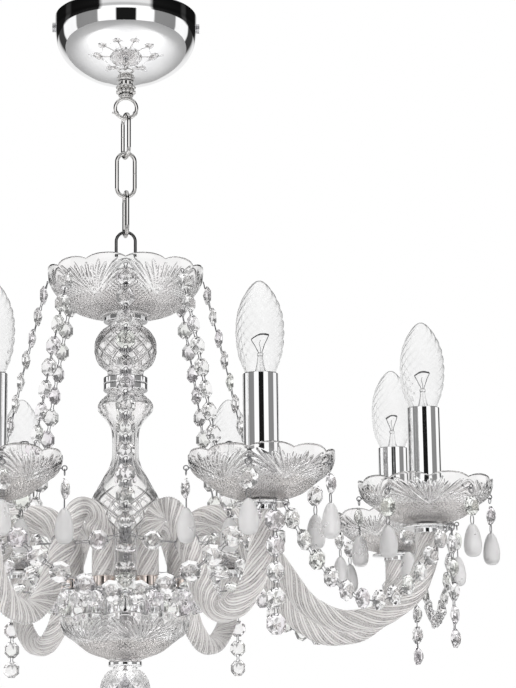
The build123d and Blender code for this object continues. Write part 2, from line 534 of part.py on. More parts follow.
# garlands between neighbouring arm tips, and the tail that hangs from each tip
hook_x = CANDLE_R + HOOK_X * math.cos(math.radians(HOOK_TURN))
hook_y = HOOK_X * math.sin(math.radians(HOOK_TURN))
half = math.radians(ARM_STEP / 2)
plane_x = hook_x * math.cos(half) + hook_y * math.sin(half)
half_chord = hook_x * math.sin(half) - hook_y * math.cos(half)
SAG = 60.0
garland = []
for i in range(81):
    y = -half_chord + 2 * half_chord * i / 80
    garland.append((plane_x, y, HOOK_Z - SAG * (1 - (y / half_chord) ** 2)))
for a in STRING_AZ:
    loc = turn_to(a)
    c, w, total = string_of(garland, 12, 10.5, 10.5, (1, 0, 0))
    lengths["garland"] = total
    crystals += [loc * s for s in c]
    wires += [loc * s for s in w]
tail_curve = [(CANDLE_R + HOOK_X, 0, HOOK_Z - i) for i in range(0, 92, 2)]
for loc in ARM_LOCS:
    c, w, total = string_of(tail_curve, 5, 11.0, 7.3, (1, 0, 0), ends=(True, False))
    lengths["tail"] = total
    crystals += [loc * s for s in c]
    wires += [loc * s for s in w]
    for b in (-HOOK_TURN, 0.0, HOOK_TURN):
        wires.append(loc * AT_TIP * Rot(0, 0, b) * torus_at(HOOK_X, 0, PLATE_TOP - 1.0, 2.4, 0.4, (0, 1, 0)))
    wires.append(loc * torus_at(COLLAR_AT[0], 0, COLLAR_AT[1], ARM_ROD_R + 0.5, 0.45, (32.0, 0, -38.4)))

# skirt of octagons hung around the hub flange
SKIRT_N, SKIRT_Z = 24, -497.6
for k in range(SKIRT_N):
    loc = Rot(0, 0, 360.0 / SKIRT_N * (k + 0.5))
    crystals.append(loc * (Plane(origin=(FLANGE_R + 3.4, 0, SKIRT_Z), x_dir=(0, 0, 1), z_dir=(1, 0, 0)) * octagon(14.0, 5.0)))
    wires.append(loc * cyl(0.45, SKIRT_Z + 7.1, SKIRT_Z + 9.4, FLANGE_R + 3.4, 0))
save(crystals, "string_crystals")
save(wires, "string_wires")
for k, v in lengths.items():
    print("%s: %.1f mm" % (k, v))
print("link tops", tops, "bail top", BAIL_TOP)
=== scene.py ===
import bpy
import math
import numpy as np
from mathutils import Vector, Matrix


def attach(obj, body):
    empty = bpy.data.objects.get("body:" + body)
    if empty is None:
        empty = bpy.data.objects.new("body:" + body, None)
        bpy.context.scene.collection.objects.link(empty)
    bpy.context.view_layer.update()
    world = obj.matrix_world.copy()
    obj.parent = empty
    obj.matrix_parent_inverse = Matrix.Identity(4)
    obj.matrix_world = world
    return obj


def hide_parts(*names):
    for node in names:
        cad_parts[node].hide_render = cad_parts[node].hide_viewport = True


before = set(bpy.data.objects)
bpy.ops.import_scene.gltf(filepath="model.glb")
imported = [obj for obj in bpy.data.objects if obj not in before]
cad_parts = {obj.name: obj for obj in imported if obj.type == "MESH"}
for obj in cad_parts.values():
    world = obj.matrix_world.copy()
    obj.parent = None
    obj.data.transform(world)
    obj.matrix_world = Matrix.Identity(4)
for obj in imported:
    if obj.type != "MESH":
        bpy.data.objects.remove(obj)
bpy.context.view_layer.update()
MM = 0.001

# ------------------------------------------------------------------ dimensions
# the same millimetre figures as the solids, in the row frame
N_ARMS = 8
R_CANDLE = 250.6
ARM_AZ = [22.5 + 45.0 * k for k in range(8)]
STRING_AZ = [45.0 * k for k in range(8)]
HANG_R = 53.6
PIN_Z = -424.0
PENDANT_AT = [36.0, 108.0, 180.0, -108.0, -36.0]
CROSS_R, CROSS_Z = 120.0, -456.0
HOOK_X, HOOK_Z, HOOK_TURN = 19.8, -452.0, 30.0
BASE_Z, RIM_Z = -448.0, -412.5


# ------------------------------------------------------------------ mesh tools
def new_object(name, verts, faces, mats, idx=None, smooth=True, scale=MM):
    me = bpy.data.meshes.new(name)
    v = np.asarray(verts, dtype=np.float64) * scale
    me.from_pydata(v.tolist(), [], [tuple(int(i) for i in f) for f in faces])
    for m in mats:
        me.materials.append(m)
    if idx is not None:
        me.polygons.foreach_set("material_index", np.asarray(idx, dtype=np.int32))
    if isinstance(smooth, bool):
        flags = np.full(len(me.polygons), smooth, dtype=bool)
    else:
        flags = np.asarray(smooth, dtype=bool)
    me.polygons.foreach_set("use_smooth", flags)
    me.update()
    ob = bpy.data.objects.new(name, me)
    bpy.context.scene.collection.objects.link(ob)
    return ob


class Parts:
    """Collects pieces of mesh and makes one object of them."""

    def __init__(self):
        self.v, self.f, self.i, self.s, self.n = [], [], [], [], 0

    def add(self, verts, faces, mat=0, smooth=True, at=None):
        """mat is one material number, or one for each face."""
        v = np.asarray(verts, dtype=np.float64)
        if at is not None:
            m = np.asarray(at, dtype=np.float64)
            v = v @ m[:3, :3].T + m[:3, 3]
            if np.linalg.det(m[:3, :3]) < 0:
                faces = [tuple(reversed(f)) for f in faces]
        self.v.append(v)
        n = self.n
        self.f += [tuple(i + n for i in f) for f in faces]
        self.i += [mat] * len(faces) if isinstance(mat, int) else list(mat)
        self.s += [smooth] * len(faces)
        self.n += len(v)

    def make(self, name, mats):
        return new_object(name, np.concatenate(self.v), self.f, mats, self.i, self.s)


def grid(points, close_u=False, close_v=True, cap_start=False, cap_end=False):
    """Faces of a (U, V, 3) grid; U rows, V columns."""
    p = np.asarray(points, dtype=np.float64)
    u, v = p.shape[:2]
    faces = []
    for i in range(u if close_u else u - 1):
        a, b = i * v, ((i + 1) % u) * v
        for j in range(v if close_v else v - 1):
            k = (j + 1) % v
            faces.append((a + j, a + k, b + k, b + j))
    verts = p.reshape(-1, 3)
    if cap_start:
        faces.append(tuple(reversed(range(v))))
    if cap_end:
        faces.append(tuple(range((u - 1) * v, u * v)))
    return verts, faces


def smooth_line(points, n=6, closed=False):
    """Dense points of a smooth curve through the points given, in any number of dimensions."""
    p = [np.asarray(q, dtype=np.float64) for q in points]
    out = []
    m = len(p)
    last = m if closed else m - 1
    for i in range(last):
        a = p[(i - 1) % m] if closed or i > 0 else p[0]
        b, c = p[i], p[(i + 1) % m]
        d = p[(i + 2) % m] if closed or i + 2 < m else p[m - 1]
        for k in range(n):
            t = k / n
            out.append(0.5 * ((2 * b) + (c - a) * t + (2 * a - 5 * b + 4 * c - d) * t * t + (3 * b - a - 3 * c + d) * t ** 3))
    if not closed:
        out.append(p[-1])
    return np.array(out)


def facing_out(loop, faces):
    """Turns the faces over when the loop runs clockwise in (r, z), so that they face out of the body."""
    q = np.asarray(loop, dtype=np.float64)
    n_ = np.roll(q, -1, axis=0)
    if np.sum(q[:, 0] * n_[:, 1] - n_[:, 0] * q[:, 1]) < 0:
        return [tuple(reversed(f)) for f in faces]
    return faces


def lathe(profile, seg=96, closed=True, shape=None, turn=0.0):
    """Turns a profile of (r, z) points. shape(theta, r, z) may return moved (r, z). turn is the twist of its columns, per mm."""
    prof = np.asarray(profile, dtype=np.float64)
    th = np.linspace(0, 2 * math.pi, seg, endpoint=False)
    rr = np.repeat(prof[:, 0][:, None], seg, axis=1)
    zz = np.repeat(prof[:, 1][:, None], seg, axis=1)
    if shape is not None:
        rr, zz = shape(np.repeat(th[None, :], len(prof), axis=0), rr, zz)
    an = th[None, :] + turn * np.repeat(prof[:, 1][:, None], seg, axis=1)
    pts = np.stack([rr * np.cos(an), rr * np.sin(an), zz], axis=-1)
    v, f = grid(pts, close_u=closed, close_v=True, cap_start=not closed, cap_end=not closed)
    return v, facing_out(prof, f)


def rounded(profile, radius=0.5, n=3):
    """Rounds the corners of a closed (r, z) loop, with a holding row on each side of a corner."""
    p = [np.asarray(q, dtype=np.float64) for q in profile]
    out = []
    m = len(p)
    for i in range(m):
        a, b, c = p[i - 1], p[i], p[(i + 1) % m]
        u, w = a - b, c - b
        lu, lw = np.linalg.norm(u), np.linalg.norm(w)
        r = min(radius, 0.45 * lu, 0.45 * lw)
        s, e = b + u / lu * r, b + w / lw * r
        if lu > 4 * r:
            out.append(s + u / lu * min(0.3 * r + 0.1, 0.05 * lu))
        for k in range(n + 1):
            t = k / n
            out.append((1 - t) ** 2 * s + 2 * t * (1 - t) * b + t * t * e)
        if lw > 4 * r:
            out.append(e + w / lw * min(0.3 * r + 0.1, 0.05 * lw))
    return np.array(out)


def frames_along(path, closed=False):
    """Tangents and two normals, carried along the path without twist."""
    p = np.asarray(path, dtype=np.float64)
    n = len(p)
    if closed:
        t = np.roll(p, -1, axis=0) - np.roll(p, 1, axis=0)
    else:
        t = np.gradient(p, axis=0)
    t /= np.linalg.norm(t, axis=1)[:, None]
    ref = np.array([0, 0, 1.0]) if abs(t[0][2]) < 0.9 else np.array([1.0, 0, 0])
    a = np.cross(t[0], ref)
    a /= np.linalg.norm(a)
    A = [a]
    for i in range(1, n):
        v = A[-1] - t[i] * np.dot(A[-1], t[i])
        A.append(v / np.linalg.norm(v))
    A = np.array(A)
    return t, A, np.cross(t, A)


def tube(path, radius, seg=12, closed=False, shape=None, turn=0.0):
    """A tube along a path. shape(phi, s, radius) may return the radius. turn is the twist of its columns, per mm."""
    p = np.asarray(path, dtype=np.float64)
    t, A, B = frames_along(p, closed)
    s = np.concatenate([[0], np.cumsum(np.linalg.norm(np.diff(p, axis=0), axis=1))])
    ph = np.linspace(0, 2 * math.pi, seg, endpoint=False)
    r = np.full((len(p), seg), float(radius)) if np.isscalar(radius) else np.repeat(np.asarray(radius)[:, None], seg, axis=1)
    if shape is not None:
        r = shape(ph[None, :], s[:, None], r)
    an = ph[None, :] + turn * s[:, None]
    pts = p[:, None, :] + r[:, :, None] * (np.cos(an)[:, :, None] * A[:, None, :] + np.sin(an)[:, :, None] * B[:, None, :])
    return grid(pts, close_u=closed, close_v=True, cap_start=not closed, cap_end=not closed)


def rot_z(deg):
    return np.array(Matrix.Rotation(math.radians(deg), 4, "Z"))


def shift(x, y, z):
    return np.array(Matrix.Translation((x, y, z)))


def basis(origin, x_dir, z_dir):
    z = np.asarray(z_dir, dtype=np.float64)
    z /= np.linalg.norm(z)
    x = np.asarray(x_dir, dtype=np.float64)
    x = x - z * np.dot(x, z)
    x /= np.linalg.norm(x)
    m = np.eye(4)
    m[:3, 0], m[:3, 1], m[:3, 2], m[:3, 3] = x, np.cross(z, x), z, origin
    return m


def fillet_route(pts, radii, step=1.2):
    """Straight runs joined by tangent arcs, sampled evenly."""
    p = [np.asarray(q, dtype=np.float64) for q in pts]
    out = [p[0]]
    for i in range(1, len(p) - 1):
        a, b, c = p[i - 1], p[i], p[i + 1]
        u, w = (a - b) / np.linalg.norm(a - b), (c - b) / np.linalg.norm(c - b)
        ang = math.acos(np.clip(np.dot(u, w), -1, 1))
        d = radii[i - 1] / math.tan(ang / 2)
        s, e = b + u * d, b + w * d
        h = math.hypot(radii[i - 1], d)
        m = (u + w) / np.linalg.norm(u + w)
        centre = b + m * h
        n = max(3, int(radii[i - 1] * (math.pi - ang) / step))
        v0, v1 = s - centre, e - centre
        sweep = math.pi - ang
        for k in range(n + 1):
            t = k / n
            out.append(centre + (math.sin((1 - t) * sweep) * v0 + math.sin(t * sweep) * v1) / math.sin(sweep))
    out.append(p[-1])
    q = np.array(out)
    cum = np.concatenate([[0], np.cumsum(np.linalg.norm(np.diff(q, axis=0), axis=1))])
    keep = np.concatenate([[True], np.diff(cum) > 1e-6])
    q, cum = q[keep], cum[keep]
    s = np.linspace(0, cum[-1], int(cum[-1] / step) + 1)
    res = np.stack([np.interp(s, cum, q[:, k]) for k in range(q.shape[1])], axis=1)
    for _ in range(6):
        res[1:-1] = 0.25 * res[:-2] + 0.5 * res[1:-1] + 0.25 * res[2:]
    return res


# ------------------------------------------------------------------- materials
def material(name):
    m = bpy.data.materials.new(name)
    m.use_nodes = True
    nt = m.node_tree
    return m, nt, nt.nodes["Principled BSDF"]


def node(nt, kind, **values):
    n = nt.nodes.new(kind)
    for k, v in values.items():
        setattr(n, k, v)
    return n


def noise_of(nt, scale, detail=3.0, rough=0.5, stretch=(1, 1, 1)):
    tc = node(nt, "ShaderNodeTexCoord")
    mp = node(nt, "ShaderNodeMapping")
    mp.inputs["Scale"].default_value = stretch
    nz = node(nt, "ShaderNodeTexNoise")
    nz.inputs["Scale"].default_value = scale
    nz.inputs["Detail"].default_value = detail
    nz.inputs["Roughness"].default_value = rough
    nt.links.new(tc.outputs["Object"], mp.inputs["Vector"])
    nt.links.new(mp.outputs["Vector"], nz.inputs["Vector"])
    return nz


def spread(nt, source, lo, hi, socket):
    mr = node(nt, "ShaderNodeMapRange")
    mr.inputs["From Min"].default_value = 0.3
    mr.inputs["From Max"].default_value = 0.7
    mr.inputs["To Min"].default_value = lo
    mr.inputs["To Max"].default_value = hi
    nt.links.new(source, mr.inputs["Value"])
    nt.links.new(mr.outputs["Result"], socket)


def bump_from(nt, source, bsdf, strength, distance):
    b = node(nt, "ShaderNodeBump")
    b.inputs["Strength"].default_value = strength
    b.inputs["Distance"].default_value = distance
    nt.links.new(source, b.inputs["Height"])
    nt.links.new(b.outputs["Normal"], bsdf.inputs["Normal"])


def tint(nt, source, bsdf, stops):
    cr = node(nt, "ShaderNodeValToRGB")
    e = cr.color_ramp.elements
    while len(e) < len(stops):
        e.new(0.5)
    for k, (pos, col) in enumerate(stops):
        e[k].position = pos
        e[k].color = (*col, 1)
    nt.links.new(source, cr.inputs["Fac"])
    nt.links.new(cr.outputs["Color"], bsdf.inputs["Base Color"])


def metal(name, dark, light, r0, r1, scale=60.0, stretch=(1, 1, 1), bump=0.02):
    m, nt, b = material(name)
    b.inputs["Metallic"].default_value = 1.0
    nz = noise_of(nt, scale, 4.0, 0.55, stretch)
    tint(nt, nz.outputs["Fac"], b, [(0.3, dark), (0.7, light)])
    spread(nt, nz.outputs["Fac"], r0, r1, b.inputs["Roughness"])
    bump_from(nt, nz.outputs["Fac"], b, bump, 0.0002)
    return m


CHROME = metal("chrome", (0.82, 0.82, 0.83), (0.92, 0.92, 0.92), 0.02, 0.06, 40.0, (1, 1, 0.2), 0.01)
FERRULE = metal("ferrule_chrome", (0.80, 0.70, 0.64), (0.92, 0.83, 0.78), 0.02, 0.06, 60.0, (1, 1, 0.3), 0.0)
# chain chrome: a darker copy of the chrome, painted shade on the chain links, the bead collar and the screw loop
CHAIN_SHADE_CHROME = metal("chain_chrome_painted_shade", (0.54, 0.53, 0.52), (0.80, 0.79, 0.78), 0.02, 0.05, 60.0, (1, 1, 0.3), 0.0)
STEEL = metal("zinc_steel", (0.48, 0.48, 0.50), (0.62, 0.62, 0.63), 0.22, 0.38, 90.0, (1, 1, 8), 0.12)
WIRE = metal("crystal_wire", (0.20, 0.20, 0.21), (0.42, 0.42, 0.43), 0.12, 0.3, 160.0)
# bail wire: the chrome painted near black, painted shade on the bail
BAIL_SHADE_CHROME = metal("bail_wire_painted_shade", (0.06, 0.06, 0.06), (0.16, 0.16, 0.16), 0.05, 0.12, 90.0, (1, 1, 0.3))


def glass(name, ior, stops, r0, r1, scale, bump, dist=0.0004, weight=1.0, detail=2.0):
    m, nt, b = material(name)
    b.inputs["Transmission Weight"].default_value = weight
    b.inputs["IOR"].default_value = ior
    nz = noise_of(nt, scale, detail, 0.5)
    tint(nt, nz.outputs["Fac"], b, stops)
    spread(nt, nz.outputs["Fac"], r0, r1, b.inputs["Roughness"])
    bump_from(nt, nz.outputs["Fac"], b, bump, dist)
    return m


PALE = [(0.32, (0.985, 0.968, 0.968)), (0.5, (0.995, 0.988, 0.986)), (0.68, (0.980, 0.982, 0.975))]
CLEAR = glass("pressed_glass", 1.42, PALE, 0.0, 0.01, 55.0, 0.03)
CUT = glass("cut_glass", 1.42, [(0.3, (0.985, 0.972, 0.975)), (0.5, (0.995, 0.990, 0.988)), (0.7, (0.985, 0.986, 0.980))], 0.0, 0.01, 50.0, 0.0)
ROPE = glass("rope_glass", 1.45, [(0.3, (0.955, 0.925, 0.915)), (0.5, (0.99, 0.970, 0.960)), (0.7, (0.975, 0.955, 0.945))], 0.02, 0.08, 60.0, 0.0,
             weight=0.50)
# rope glass b: a greyer, clearer copy of the rope glass for some strands, painted shade
ROPE_SHADED_STRAND = glass("rope_glass_shaded_strand", 1.45, [(0.3, (0.90, 0.88, 0.875)), (0.5, (0.97, 0.955, 0.95)), (0.7, (0.93, 0.92, 0.91))], 0.0, 0.03, 60.0, 0.0,
               weight=0.78)
# rope groove: dark glass on the groove faces between the strands, painted shade in the grooves
ROPE_GROOVE_SHADE = glass("rope_groove_painted_shade", 1.45, [(0.3, (0.16, 0.15, 0.145)), (0.5, (0.52, 0.495, 0.48)), (0.7, (0.32, 0.305, 0.295))], 0.05, 0.15, 160.0, 0.0,
               weight=0.30)
# cut edge: dark glass on the edges of the cuts and in the stipple lines, painted shade
EDGE_SHADE_GLASS = glass("cut_edge_painted_shade", 1.42, [(0.3, (0.06, 0.058, 0.058)), (0.5, (0.30, 0.29, 0.29)), (0.7, (0.14, 0.135, 0.13))], 0.02, 0.10, 140.0, 0.0)
CRYSTAL = glass("crystal", 1.60, [(0.28, (0.93, 0.89, 0.93)), (0.42, (0.985, 0.980, 0.978)), (0.60, (0.985, 0.980, 0.978)), (0.74, (0.93, 0.95, 0.90))],
                0.0, 0.008, 42.0, 0.0, detail=0.0)
GROUND = glass("stippled_glass", 1.48, [(0.3, (0.88, 0.84, 0.83)), (0.5, (0.995, 0.975, 0.97)), (0.7, (0.93, 0.905, 0.89))], 0.0, 0.01, 300.0, 0.05,
               0.0005)
# stippled bowl glass: a darker copy of the stippled glass for the lower bowls, painted shade
GROUND_SHADED = glass("stippled_bowl_glass_painted_shade", 1.50, [(0.3, (0.62, 0.58, 0.56)), (0.5, (0.95, 0.92, 0.90)), (0.7, (0.76, 0.73, 0.70))], 0.0, 0.02, 300.0, 0.08,
                 0.0005)
BULB = glass("bulb_glass", 1.32, [(0.3, (0.985, 0.985, 0.985)), (0.7, (0.996, 0.996, 0.996))], 0.0, 0.01, 70.0, 0.0)


def frosted():
    m, nt, b = material("frosted_drop")
    b.inputs["Transmission Weight"].default_value = 0.60
    b.inputs["IOR"].default_value = 1.42
    b.inputs["Specular IOR Level"].default_value = 0.55
    b.inputs["Coat Weight"].default_value = 0.35
    b.inputs["Coat Roughness"].default_value = 0.12
    nz = noise_of(nt, 70.0, 4.0, 0.6)
    tint(nt, nz.outputs["Fac"], b, [(0.3, (0.79, 0.78, 0.782)), (0.7, (0.86, 0.855, 0.853))])
    spread(nt, nz.outputs["Fac"], 0.26, 0.34, b.inputs["Roughness"])
    fine = noise_of(nt, 1500.0, 2.0, 0.5)
    bump_from(nt, fine.outputs["Fac"], b, 0.15, 0.0001)
    return m


FROST = frosted()


def plastic(name, a, c, r0, r1):
    m, nt, b = material(name)
    nz = noise_of(nt, 400.0, 3.0, 0.5)
    tint(nt, nz.outputs["Fac"], b, [(0.3, a), (0.7, c)])
    spread(nt, nz.outputs["Fac"], r0, r1, b.inputs["Roughness"])
    bump_from(nt, nz.outputs["Fac"], b, 0.08, 0.0002)
    return m


WHITE = plastic("white_plastic", (0.78, 0.78, 0.76), (0.86, 0.86, 0.84), 0.35, 0.5)

# --------------------------------------------------------------- light and view
scene = bpy.context.scene
scene.view_settings.view_transform = "Standard"
scene.view_settings.look = "None"
scene.cycles.max_bounces = 24
scene.cycles.transmission_bounces = 22
scene.cycles.glossy_bounces = 8
scene.cycles.transparent_max_bounces = 16

world = bpy.data.worlds.new("studio")
scene.world = world
world.use_nodes = True
wt = world.node_tree
wt.nodes.clear()
out = wt.nodes.new("ShaderNodeOutputWorld")
mix = wt.nodes.new("ShaderNodeMixShader")
seen = wt.nodes.new("ShaderNodeBackground")
room = wt.nodes.new("ShaderNodeBackground")
lp = wt.nodes.new("ShaderNodeLightPath")
seen.inputs["Color"].default_value = (1, 1, 1, 1)
seen.inputs["Strength"].default_value = 1.0
tc = wt.nodes.new("ShaderNodeTexCoord")
sep = wt.nodes.new("ShaderNodeSeparateXYZ")
wt.links.new(tc.outputs["Generated"], sep.inputs["Vector"])


def wmath(op, a, b=None, clamp=False):
    n = wt.nodes.new("ShaderNodeMath")
    n.operation = op
    n.use_clamp = clamp
    for k, v in enumerate((a, b)):
        if v is None:
            continue
        if isinstance(v, (int, float)):
            n.inputs[k].default_value = v
        else:
            wt.links.new(v, n.inputs[k])
    return n.outputs[0]


# azimuth from the viewed side, 0 at -Y and 1 at +Y, the same to left and right
ax = wmath("ABSOLUTE", sep.outputs["X"])
az = wmath("ARCTAN2", ax, wmath("MULTIPLY", sep.outputs["Y"], -1.0))
az = wmath("DIVIDE", az, math.pi)


def ramp_of(source, stops_):
    r = wt.nodes.new("ShaderNodeValToRGB")
    wt.links.new(source, r.inputs["Fac"])
    e = r.color_ramp.elements
    while len(e) < len(stops_):
        e.new(0.5)
    for i, (pos, val) in enumerate(stops_):
        e[i].position = pos
        e[i].color = (val,) * 3 + (1,)
    return r.outputs["Color"]


# the studio round the object: a dark gap at the viewed side, two soft boxes, grey walls, a bright wall behind
walls = ramp_of(az, [(0.0, 0.012), (0.083, 0.012), (0.095, 1.25), (0.245, 1.25), (0.262, 0.30), (0.472, 0.28), (0.488, 1.15), (0.655, 1.15),
                     (0.675, 0.05), (0.775, 0.05), (0.815, 0.70), (0.86, 0.96), (1.0, 0.96)])
high = ramp_of(az, [(0.0, 1.4), (0.21, 1.4), (0.25, 0.015), (0.55, 0.01), (0.58, 0.06), (0.62, 0.06), (0.65, 0.01), (0.86, 0.01),
                    (0.90, 0.80), (0.94, 0.96), (1.0, 0.96)])
lift = wmath("MULTIPLY", wmath("SUBTRACT", sep.outputs["Z"], 0.216), 50.0, True)
both = wt.nodes.new("ShaderNodeMix")
both.data_type = "RGBA"
wt.links.new(lift, both.inputs[0])
wt.links.new(walls, both.inputs[6])
wt.links.new(high, both.inputs[7])
walls = both.outputs[2]
# seen steeply from below or above, the walls end: dark bands, then the pale floor and the ceiling light
height = wmath("ADD", wmath("MULTIPLY", sep.outputs["Z"], 0.5), 0.5)
levels = ramp_of(height, [(0.0, 0.55), (0.12, 0.60), (0.20, 0.10), (0.30, 0.08), (0.36, 0.95), (0.66, 0.98), (0.71, 0.12), (0.80, 0.06),
                          (0.88, 0.75), (1.0, 1.05)])
mul = wt.nodes.new("ShaderNodeMix")
mul.data_type = "RGBA"
mul.blend_type = "MULTIPLY"
mul.inputs[0].default_value = 1.0
wt.links.new(walls, mul.inputs[6])
wt.links.new(levels, mul.inputs[7])
# above and below, where all azimuths meet, the level alone counts
poles = wmath("MULTIPLY", wmath("SUBTRACT", wmath("ABSOLUTE", sep.outputs["Z"]), 0.62), 5.0, True)
blend_ = wt.nodes.new("ShaderNodeMix")
blend_.data_type = "RGBA"
wt.links.new(poles, blend_.inputs[0])
wt.links.new(mul.outputs[2], blend_.inputs[6])
wt.links.new(levels, blend_.inputs[7])
# through glass the room is seen paler
pale = wt.nodes.new("ShaderNodeMix")
pale.data_type = "RGBA"
wt.links.new(wmath("MULTIPLY", lp.outputs["Is Transmission Ray"], 0.16), pale.inputs[0])
wt.links.new(blend_.outputs[2], pale.inputs[6])
pale.inputs[7].default_value = (1, 1, 1, 1)
wt.links.new(pale.outputs[2], room.inputs["Color"])
room.inputs["Strength"].default_value = 1.0
wt.links.new(lp.outputs["Is Camera Ray"], mix.inputs["Fac"])
wt.links.new(room.outputs["Background"], mix.inputs[1])
wt.links.new(seen.outputs["Background"], mix.inputs[2])
wt.links.new(mix.outputs["Shader"], out.inputs["Surface"])


def area(name, loc, size, energy, target=(0, 0, -0.42)):
    d = bpy.data.lights.new(name, "AREA")
    d.shape = "RECTANGLE"
    d.size, d.size_y = size
    d.energy = energy
    o = bpy.data.objects.new(name, d)
    o.location = loc
    o.rotation_euler = (Vector(target) - Vector(loc)).to_track_quat("-Z", "Y").to_euler()
    o.visible_glossy = False
    o.visible_transmission = False
    scene.collection.objects.link(o)
    return o


area("softbox_left", (-1.9, -1.5, 0.1), (0.9, 1.7), 58)
area("softbox_right", (2.0, -1.3, 0.2), (0.9, 1.7), 50)
area("softbox_top", (0.2, 0.4, 1.6), (1.8, 1.8), 44)

cam_data = bpy.data.cameras.new("camera")
cam = bpy.data.objects.new("camera", cam_data)
scene.collection.objects.link(cam)
scene.camera = cam
cam_data.sensor_fit = "VERTICAL"
cam_data.sensor_height = 36.0
cam_data.lens = 2100.0 / 688.0 * 36.0
PITCH = math.radians(9.83)
f0 = Vector((0, math.cos(PITCH), math.sin(PITCH)))
u0 = Vector((0, -math.sin(PITCH), math.cos(PITCH)))
r0 = Vector((1, 0, 0))
look = (f0 + r0 * ((258.0 - 125.5) / 2100.0) + u0 * ((430.0 - 344.0) / 2100.0)).normalized()
q = f0.rotation_difference(look)
m3 = Matrix((q @ r0, q @ u0, -(q @ f0))).transposed()
cam.matrix_world = Matrix.Translation((0, -1.696, -0.650)) @ m3.to_4x4()
cam_data.clip_start = 0.02

# pale floor, well below the hanging object
fv, ff = [], []
NF = 24
for i in range(NF + 1):
    for j in range(NF + 1):
        fv.append((-9000 + 18000 * i / NF, -9000 + 18000 * j / NF, -1500.0))
for i in range(NF):
    for j in range(NF):
        a = i * (NF + 1) + j
        ff.append((a, a + NF + 1, a + NF + 2, a + 1))
FLOOR = plastic("floor_paper", (0.80, 0.80, 0.80), (0.84, 0.84, 0.84), 0.7, 0.85)
floor = new_object("floor", fv, ff, [FLOOR])

# ------------------------------------------------------------------ the pieces
ROOT, BODY = "ceiling_fixing", "chandelier"


def place(ob, body, slot, *nodes):
    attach(ob, body)
    if nodes:
        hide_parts(*nodes)
    return ob


# ---- ceiling fixing
cup_out = smooth_line([(60, 0), (60, -8), (59.8, -15), (57.6, -26), (51.2, -37), (41, -46), (28, -53), (16, -56.2), (9, -57)], 5)
cup_in = np.array([(max(r - 1.1, 4.05), z + (1.2 if z < -20 else 0.9 * (-z) / 20)) for r, z in cup_out])[::-1]
prof = np.concatenate([cup_out, [(4.05, -57.0), (4.05, -55.8)], cup_in[1:]])
P = Parts()
P.add(*lathe(prof, 96))
cup = place(P.make("canopy_shell", [CHROME]), ROOT, "chrome", "canopy_cup")

P = Parts()
P.add(*lathe(rounded([(4.1, -57.0), (6.4, -57.0), (6.0, -63.4), (6.4, -70.0), (4.1, -70.0)], 0.4), 48))


def bead(r, n=10):
    th = np.linspace(0, math.pi, n)
    prof_ = [(r * math.sin(t), r * math.cos(t)) for t in th]
    ph = np.linspace(0, 2 * math.pi, 2 * n, endpoint=False)
    pts = np.array([[(a * math.cos(p_), a * math.sin(p_), z) for p_ in ph] for a, z in prof_[1:-1]])
    v, f = grid(pts)
    v = np.concatenate([v, [(0, 0, r), (0, 0, -r)]])
    k = len(pts) * 2 * n
    for j in range(2 * n):
        f.append((k, (j + 1) % (2 * n), j))
        f.append((k + 1, (len(pts) - 1) * 2 * n + j, (len(pts) - 1) * 2 * n + (j + 1) % (2 * n)))
    return v, [tuple(reversed(x)) for x in f]


bv, bf = bead(1.75, 7)
for zc, off in ((-62.3, 0.0), (-66.4, 0.5)):
    for k in range(12):
        a = math.radians(30 * (k + off))
        P.add(bv, bf, at=shift(6.7 * math.cos(a), 6.7 * math.sin(a), zc))
place(P.make("beaded_collar", [CHAIN_SHADE_CHROME]), ROOT, "chrome", "canopy_collar")

P = Parts()
ring_path = [(9.0 * math.cos(t), 0, -80.55 + 9.0 * math.sin(t)) for t in np.linspace(0, 2 * math.pi, 72, endpoint=False)]
P.add(*tube(ring_path, 1.5, 16, closed=True))
# the snap ring's two sleeves, and the small peg of its catch
for a0, a1, rr in ((198, 216, 2.0), (322, 340, 2.0)):
    arc = [(9.0 * math.cos(math.radians(a_)), 0, -80.55 + 9.0 * math.sin(math.radians(a_))) for a_ in np.linspace(a0, a1, 7)]
    P.add(*tube(arc, [rr * f for f in (0.8, 1.0, 0.86, 1.0, 0.86, 1.0, 0.8)], 16))
P.add(*tube([(-9.2, 0, -84.2), (-10.6, 0, -84.8), (-11.4, 0, -84.4)], [0.9, 0.8, 1.0], 10))
P.add(*lathe([(0.05, -71.6), (3.6, -71.4), (4.0, -70.6), (4.0, -50.4), (3.6, -50.0), (0.05, -50.0)], 32))
place(P.make("screw_loop", [CHAIN_SHADE_CHROME]), ROOT, "chrome", "hanging_ring")


# ---- chain
def link_path(top, azim):
    rc, zt = 7.45, top - 1.7 - 7.45
    zb = zt - 22.9
    p = [(rc * math.cos(t), zt + rc * math.sin(t)) for t in np.linspace(0, math.pi, 40)]
    p += [(-rc, zt + (zb - zt) * k / 8) for k in range(1, 8)]
    p += [(rc * math.cos(t), zb + rc * math.sin(t)) for t in np.linspace(math.pi, 2 * math.pi, 40)]
    p += [(rc, zb + (zt - zb) * k / 8) for k in range(1, 8)]
    c, s_ = math.cos(math.radians(azim)), math.sin(math.radians(azim))
    return [(x * c, x * s_, z) for x, z in p]


TOPS = [-84.4, -118.55, -152.7]
for k, top in enumerate(TOPS):
    P = Parts()
    azim = (110.0, 0.0, 100.0)[k]
    P.add(*tube(link_path(top, azim), 1.66, 20, closed=True))
    # the butt-welded seam on one side
    sx = 7.45
    seam = [(sx, 0.0, top - 19.2), (sx, 0.0, top - 20.0), (sx, 0.0, top - 20.8)]
    seam = [(sx * math.cos(math.radians(azim)), sx * math.sin(math.radians(azim)), z) for _, _, z in seam]
    P.add(*tube(seam, [1.5, 1.78, 1.5], 20))
    place(P.make("chain_link_%d" % (k + 1), [CHAIN_SHADE_CHROME]), "chain_link_%d" % (k + 1), "chrome", "link_%d" % (k + 1))

